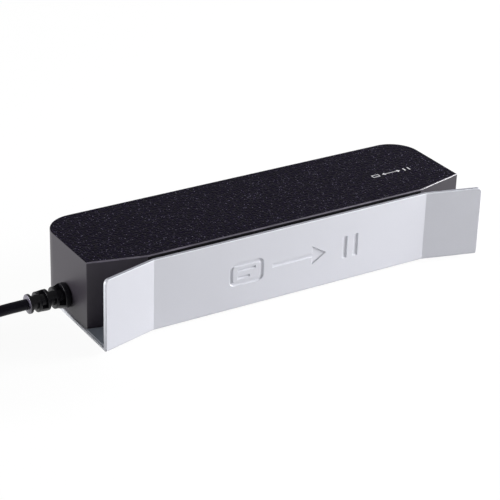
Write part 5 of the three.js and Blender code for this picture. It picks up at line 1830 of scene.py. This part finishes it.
@dataclass
class Plug:
    """The plug, in a frame of its own: X from the cord towards the mouth."""

    neck: Point = PLUG_NECK
    heading: float = PLUG_HEADING
    neck_length: float = 0.007
    neck_radii: Point = (0.0029, 0.0032, 0.0035)
    neck_rim: float = 0.0003
    neck_sunk: float = 0.002
    body_length: float = 0.028
    tail_half: float = 0.0055
    body_high: float = 0.004
    swells: tuple = ((0.12, 1.1), (0.24, 1.32), (0.36, 1.418), (1.0, 1.418))
    body_corner: float = 0.0018
    body_round: float = 0.0011
    body_edge: float = 0.00012
    grooves: int = 5
    groove_start: float = 0.013
    groove_pitch: float = 0.0026
    groove_width: float = 0.0012
    groove_half: float = 0.0048
    groove_depth: float = 0.0004
    shell_gap: float = 0.0003
    shell_length: float = 0.012
    shell_half: float = 0.006
    shell_high: float = 0.00225
    shell_wall: float = 0.00035
    shell_corner: float = 0.0005
    shell_edge: float = 0.00006
    latch_back: float = 0.0052
    latch_y: float = 0.0028
    latch_half: float = 0.0012
    latch_reach: float = 0.004
    tongue_low: float = -0.0001
    tongue_high: float = 0.0016
    tongue_inset: float = 0.0008
    tongue_corner: float = 0.0003
    tongue_edge: float = 0.00005
    channels: int = 4
    channel_start: Pair = (0.0012, -0.0035)
    channel_pitch: float = 0.00233
    channel_half: float = 0.0005
    channel_depth: float = 0.0002

    @property
    def body_end(self) -> float:
        """The place where the moulded grip ends."""
        return self.neck_length + self.body_length

    @property
    def shell_start(self) -> float:
        """The place where the metal shell starts."""
        return self.body_end + self.shell_gap

    def build(self) -> list[Piece]:
        """Builds the plug's pieces and dresses them.

        Returns:
            The body, the shell and the tongue.
        """
        pieces = [self.body(), self.shell(), self.tongue()]
        turn = Matrix.Rotation(self.heading, 4, "Z")
        for piece in pieces:
            piece.matrix_world = Matrix.Translation(self.neck) @ turn
            settle(piece)
        looks = ((JACKET,), (NICKEL,), (TONGUE, NICKEL))
        for piece, finishes, node in zip(pieces, looks, ("plug_body", "plug_shell", "plug_tongue")):
            ready(wear(piece, *finishes), HOUSING, node)
        return pieces

    def body(self) -> Piece:
        """Builds the moulded grip: shoulders that swell from the neck, and ribs for the thumb.

        Returns:
            The body.
        """
        start, end, half, high = self.neck_length, self.body_end, self.tail_half, self.body_high
        piece = block("plug_grip", (start, -half, -high), (end, half, high))
        places = [(start + share * self.body_length, wide) for share, wide in self.swells]
        with Edit(piece) as edit:
            edit.split(Axis.X, *(x for x, _ in places[:-1]))
            for place, wide in places:
                edit.pick(Select.VERT, lambda v, x=place: abs(v.co.x - x) < NEAR)
                bpy.ops.transform.resize(value=(1, wide, 1))
            ends = (start, end)
            edit.pick(Select.EDGE, lambda e: along(e, 2, high) and any(at(e, 0, x) for x in ends))
            edit.bevel(self.body_corner, steps=6)
            edit.pick(Select.EDGE, self.is_shoulder)
            edit.bevel(self.body_round, steps=5)
        first, second, last = self.neck_radii
        sunk = start + self.neck_sunk
        profile = [(0, 0), (first, 0), (second, self.neck_rim), (last, sunk), (0, sunk)]
        boolean(piece, Join.FUSE, turned("neck", profile, Axis.X))
        for groove in range(self.grooves):
            x = start + self.groove_start + groove * self.groove_pitch
            near = (x, -self.groove_half, high - self.groove_depth)
            far = (x + self.groove_width, self.groove_half, high + self.groove_depth)
            boolean(piece, Join.CUT, block("groove", near, far))
        return polish(piece, angle=30, edge=self.body_edge)

    def is_shoulder(self, edge: object) -> bool:
        """Says whether an edge joins the body's top or underside to its sides."""
        return len(edge.link_faces) == 2 and sum(looks(f, 2) for f in edge.link_faces) == 1

    def shell(self) -> Piece:
        """Builds the metal shell with its latch windows.

        Returns:
            The shell.
        """
        start, half, high = self.shell_start, self.shell_half, self.shell_high
        end = start + self.shell_length
        piece = block("plug_shell_metal", (start, -half, -high), (end, half, high))
        with Edit(piece) as edit:
            edit.pick(Select.EDGE, lambda e: along(e, 0, high))
            edit.bevel(self.shell_corner, steps=4)
            edit.pick(Select.FACE, lambda f: looks(f, 0))
            bpy.ops.mesh.delete(type="FACE")
        thicken(piece, self.shell_wall, -1.0)
        middle, size, reach = end - self.latch_back, self.latch_half, self.latch_reach
        for y in (side * self.latch_y for side in SIDES):
            low = (middle - size, y - size, -reach)
            boolean(piece, Join.CUT, block("latch", low, (middle + size, y + size, reach)))
        return polish(piece, angle=35, edge=self.shell_edge)

    def tongue(self) -> Piece:
        """Builds the insulator with four channels for its contacts.

        Returns:
            The tongue.
        """
        start, low = self.shell_start, self.tongue_low
        end = start + self.shell_length - self.tongue_inset
        half = self.shell_half - self.shell_wall - self.shell_gap
        piece = block("plug_tongue_board", (start, -half, low), (end, half, self.tongue_high))
        with Edit(piece) as edit:
            edit.pick(Select.EDGE, lambda e: at(e, 0, end))
            edit.bevel(self.tongue_corner, steps=3)
        x, first = self.channel_start
        for channel in range(self.channels):
            y = first + channel * self.channel_pitch
            near = (start + x, y - self.channel_half, low - OVERSHOOT)
            far = (end + OVERSHOOT, y + self.channel_half, low + self.channel_depth)
            boolean(piece, Join.CUT, block("channel", near, far))
        return polish(piece, angle=35, edge=self.tongue_edge)


@dataclass
class Suspension:
    """What lets the read head give way: a leaf spring in two halves, and a slack ribbon."""

    x: float = 0.038
    z: float = 0.01455
    leaf_y: float = -0.008
    leaf: float = 0.0003
    half_length: float = 0.017
    half_height: float = 0.0035
    half_waist: float = 0.002
    pad: float = 0.0035
    head_half: float = 0.007
    waist_end: float = 0.011
    screw_x: float = 0.014
    screw_hole: float = 0.0015
    dimple: Point = (0.0028, 0.00028, 0.0018)
    edge: float = 0.00006
    bend: Pair = (0.0105, 0.0045)
    bend_steps: int = 9
    ribbon_half: float = 0.003
    ribbon: float = 0.0003
    ribbon_route: tuple = (
        (-0.00828, 0.00925), (-0.0017, 0.00857), (0.0046, 0.01148), (0.0109, 0.0108),
    )
    ribbon_held: Pair = (0.0005, 0.002)

    def build(self) -> None:
        """Builds both halves of the leaf and the ribbon in place of their CAD nodes."""
        for side, name in zip(SIDES, ("spring_leaf_left", "spring_leaf_right")):
            piece = wear(self.leaf_half(name, side), SPRING)
            self.flexing(piece, "head_spring")
        line = smooth([Vector((self.x, y, z)) for y, z in self.ribbon_route])
        places = [(point.y, point.z) for point in line]
        band = strip("head_flex", places, self.x, self.ribbon_half, self.ribbon, self.edge)
        self.flexing(wear(band, RIBBON), "head_ribbon")

    def flexing(
        self, piece: Piece, node: str
    ) -> None:
        """Writes a piece's place into its mesh and hides the CAD node that it stands for.

        Args:
            piece: the object.
            node: the CAD node that it stands for.
        """
        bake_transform(piece)
        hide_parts(node)

    def leaf_half(self, name: str, side: int) -> Piece:
        """Makes one half of the leaf: a screwed end, a waist, and a dimpled pad behind the head.

        Args:
            name: the object's name.
            side: -1 for the left half, 1 for the right one.

        Returns:
            The half leaf.
        """
        high, waist, y, z = self.half_height, self.half_waist, self.leaf_y, self.z
        upper = [
            (0.0, high), (self.pad, high), (self.head_half, waist), (self.waist_end, waist),
            (self.waist_end + waist, high), (self.half_length, high),
        ]
        outline = upper + [(reach, -up) for reach, up in reversed(upper)]
        points = [(self.x + side * reach, y, z + up) for reach, up in outline]
        piece = raised(name, points, (0, self.leaf, 0))
        hole_x = self.x + side * self.screw_x
        ends = ((hole_x, y - OVERSHOOT, z), (hole_x, y + OVERSHOOT, z))
        boolean(piece, Join.CUT, rod("hole", self.screw_hole, *ends, sides=32))
        reach, depth, tall = self.dimple
        low, far = sorted((self.x, self.x + side * reach))
        top = (far, y + self.leaf / 2, z + tall)
        boolean(piece, Join.FUSE, block("dimple", (low, y - depth, z - tall), top))
        soften(piece, self.edge, angle=40)
        outer, inner = self.bend
        with Edit(piece) as edit:
            for step in range(1, self.bend_steps):
                reach = inner + (outer - inner) * step / self.bend_steps
                edit.split(Axis.X, self.x + side * reach)
        return polish(piece, angle=40)


@dataclass
class Underside:
    """The rubber feet and the countersunk screws under the plate."""

    foot_places: tuple = corners((-0.062, 0.062), (-0.0128, 0.0205))
    foot_radius: float = 0.0055
    foot_high: float = 0.0012
    foot_rim: float = 0.0004
    rim_steps: int = 5
    hollow: float = 0.0002
    hollow_radii: Pair = (0.0022, 0.0024)
    screw_low: float = 0.00175
    screw_neck: float = 0.0029
    head_radius: float = 0.0027
    head_rim: float = 0.0001
    shank_radius: float = 0.00125
    thread_start: float = 0.0003
    thread_pitch: float = 0.0008
    thread_depth: float = 0.0002
    tip_length: float = 0.0006
    tip_radius: float = 0.0004
    screw_tip: float = 0.0105
    clamp_tip: float = 0.0068
    cross: Point = (0.0014, 0.0003, 0.0008)
    names: tuple = ("front_left", "front_right", "rear_left", "rear_right")

    def build(self) -> None:
        """Builds the feet and the screws and dresses them."""
        foot = self.foot()
        screw = self.screw("pattern_screw", self.screw_tip)
        clamp = self.screw("clamp_screw_steel", self.clamp_tip)
        for pattern, places, finish, name, node in (
            (foot, self.foot_places, FOOT_RUBBER, "rubber_foot_", "foot_"),
            (screw, SCREW_PLACES, SCREW_METAL, "steel_screw_", "cover_screw_"),
        ):
            for corner, place in zip(self.names, places):
                piece = wear(copied(pattern, name + corner, place), finish)
                ready(piece, HOUSING, node + corner)
        clamp.location = (*CLAMP_PLACE, 0)
        ready(wear(settle(clamp), SCREW_METAL), HOUSING, "screw_clamp")
        for pattern in (foot, screw):
            bpy.data.objects.remove(pattern)

    def foot(self) -> Piece:
        """Builds one foot: a low disc with a rounded rim and a shallow ring in its underside.

        Returns:
            The foot, at the origin.
        """
        r, rim, top = self.foot_radius, self.foot_rim, self.foot_high
        inner, outer = self.hollow_radii
        profile = [(0, self.hollow), (inner, self.hollow), (outer, 0.0), (r - rim, 0.0)]
        for step in range(1, self.rim_steps + 1):
            turn = math.pi / 2 * step / self.rim_steps
            profile.append((r - rim + rim * math.sin(turn), rim - rim * math.cos(turn)))
        piece = turned("pattern_foot", [*profile, (r, top), (0, top)], Axis.Z)
        return polish(piece, angle=30)

    def screw(self, name: str, tip: float) -> Piece:
        """Builds one countersunk screw with a cross recess and a thread.

        Args:
            name: the object's name.
            tip: the height of its tip.

        Returns:
            The screw, on the Z axis.
        """
        head, shank, low, rim = self.head_radius, self.shank_radius, self.screw_low, self.head_rim
        root, pitch = shank - self.thread_depth, self.thread_pitch
        profile = [(0, low), (head - rim, low), (head, low + rim), (shank, self.screw_neck)]
        z = self.screw_neck + self.thread_start
        while z + pitch < tip - self.tip_length:
            profile += [(root, z), (shank, z + pitch / 2)]
            z += pitch
        profile += [(root, tip - self.tip_length), (self.tip_radius, tip), (0, tip)]
        piece = turned(name, profile, Axis.Z, steps=32)
        long, wide, deep = self.cross
        for x, y in ((long, wide), (wide, long)):
            boolean(piece, Join.CUT, block("slot", (-x, -y, 0), (x, y, low + deep)))
        return polish(piece, angle=30)


# Camera, light and floor


@dataclass
class Studio:
    """A white room: a camera at the photograph's place, soft lamps, and a pale floor."""

    camera_place: Point = (-0.36493, -0.56503, 0.34732)
    camera_target: Point = (-0.02169, -0.0228, 0.02684)
    roll: float = math.radians(1.82)
    lens: float = 129.5
    sensor: float = 36.0
    clip: Pair = (0.01, 50.0)
    floor_size: float = 8.0
    floor_tone: float = 0.6
    floor_roughness: float = 0.9
    floor_specular: float = 0.1
    floor_glow: float = 1.095
    whiteness: float = 0.86
    ambient: float = 0.2
    mirrored: float = 0.42
    lamps: tuple = (
        ("key", (0.9, -0.35, 0.3), (0, 0, 0.015), 0.4, 13.8),
        ("near fill", (0.41, -0.36, 0.3), (0, 0, 0.015), 0.3, 0.6),
        ("back", (1.25, 0.5, 0.6), (0, 0, 0.015), 0.35, 1.1),
        ("side", (-1.15, 0.42, 0.22), (-0.09, 0, 0.015), 0.5, 13.0),
    )

    def place_camera(self) -> None:
        """Makes the camera."""
        data = bpy.data.cameras.new("camera")
        data.lens = self.lens
        data.sensor_width = self.sensor
        data.clip_start, data.clip_end = self.clip
        camera = bpy.data.objects.new("camera", data)
        bpy.context.scene.collection.objects.link(camera)
        back = (Vector(self.camera_place) - Vector(self.camera_target)).normalized()
        right = Vector(Axis.Z.value).cross(back).normalized()
        up = back.cross(right)
        turned_right = right * math.cos(self.roll) + up * math.sin(self.roll)
        turned_up = up * math.cos(self.roll) - right * math.sin(self.roll)
        turn = Matrix((turned_right, turned_up, back)).transposed().to_4x4()
        camera.matrix_world = Matrix.Translation(self.camera_place) @ turn
        bpy.context.scene.camera = camera

    def lamp(self, name: str, place: Point, target: Point, size: float, power: float) -> None:
        """Adds a square soft lamp.

        Args:
            name: the lamp's name.
            place: where it stands.
            target: where it points.
            size: the length of its side.
            power: its power in watts.
        """
        data = bpy.data.lights.new(name, "AREA")
        data.shape = "SQUARE"
        data.size = size
        data.energy = power
        lamp = bpy.data.objects.new(name, data)
        bpy.context.scene.collection.objects.link(lamp)
        lamp.location = place
        lamp.rotation_euler = (Vector(place) - Vector(target)).to_track_quat("Z", "Y").to_euler()

    def light(self) -> None:
        """Adds the lamps and the world."""
        for row in self.lamps:
            self.lamp(*row)
        world = bpy.data.worlds.new("white room")
        bpy.context.scene.world = world
        world.use_nodes = True
        wire = Wiring(world.node_tree)
        strength = self.seen(wire, self.ambient, self.mirrored)
        background = world.node_tree.nodes["Background"]
        wire.fill(background, {"Color": (1, 1, 1, 1), "Strength": strength})

    def seen(self, wire: Wiring, lighting: float, glossy: float) -> Socket:
        """Gives 1 to rays that see the surroundings, less to those that light or mirror them.

        Args:
            wire: the wiring of the world or material.
            lighting: the strength for rays that only light.
            glossy: the strength for rays that are mirrored.

        Returns:
            The strength.
        """
        path = wire.add("LightPath").outputs
        direct = wire.math("MAXIMUM", path["Is Camera Ray"], path["Is Transmission Ray"])
        mirrored = wire.math("MULTIPLY", path["Is Glossy Ray"], glossy)
        return wire.math("MAXIMUM", wire.math("MAXIMUM", direct, mirrored), lighting)

    def floor(self) -> None:
        """Adds the floor, which shows white and keeps the object's shadow."""
        bpy.ops.mesh.primitive_plane_add(size=self.floor_size, location=(0, 0, 0))
        floor = bpy.context.object
        floor.name = "floor"
        made = bpy.data.materials.new("Pale floor")
        made.use_nodes = True
        nodes = made.node_tree.nodes
        wire = Wiring(made.node_tree)
        wire.fill(nodes["Principled BSDF"], {
            "Base Color": (self.floor_tone, self.floor_tone, self.floor_tone, 1),
            "Roughness": self.floor_roughness,
            "Specular IOR Level": self.floor_specular,
        })
        glow = wire.add("Emission", {"Strength": self.floor_glow})
        share = wire.math("MULTIPLY", self.seen(wire, 0.0, 1.0), self.whiteness)
        shades = {0: share, 1: nodes["Principled BSDF"].outputs[0], 2: glow.outputs[0]}
        mix = wire.add("MixShader", shades)
        wire.feed(nodes["Material Output"].inputs["Surface"], mix.outputs[0])
        floor.data.materials.append(made)


def colour_management() -> None:
    """Sets the plain view transform."""
    bpy.context.scene.view_settings.view_transform = "Standard"


def dress_nodes(nodes: dict[str, Piece]) -> None:
    """Gives each CAD node that stays in view its finish.

    Args:
        nodes: the CAD nodes by name.
    """
    for finish, names in NODE_FINISHES.items():
        for name in names:
            nodes[name].data.materials.clear()
            nodes[name].data.materials.append(finish.material())
            LOG.info("%s wears %s", name, finish.name)


def main() -> None:
    """Builds the camera, the cord and then every other piece."""
    logging.basicConfig(level=logging.INFO, format="%(message)s")
    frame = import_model()
    colour_management()
    studio = Studio()
    studio.place_camera()
    cord = Cord()
    line = cord.build()
    boot = Boot().build()
    tie = Tie()
    strap = [tie.build(), tie.lap()]
    plug = Plug().build()
    cord.length()
    Guide().build()
    Cover().build()
    Suspension().build()
    Underside().build()
    dress_nodes(frame["nodes"])
    studio.light()
    studio.floor()


if __name__ == "__main__":
    main()
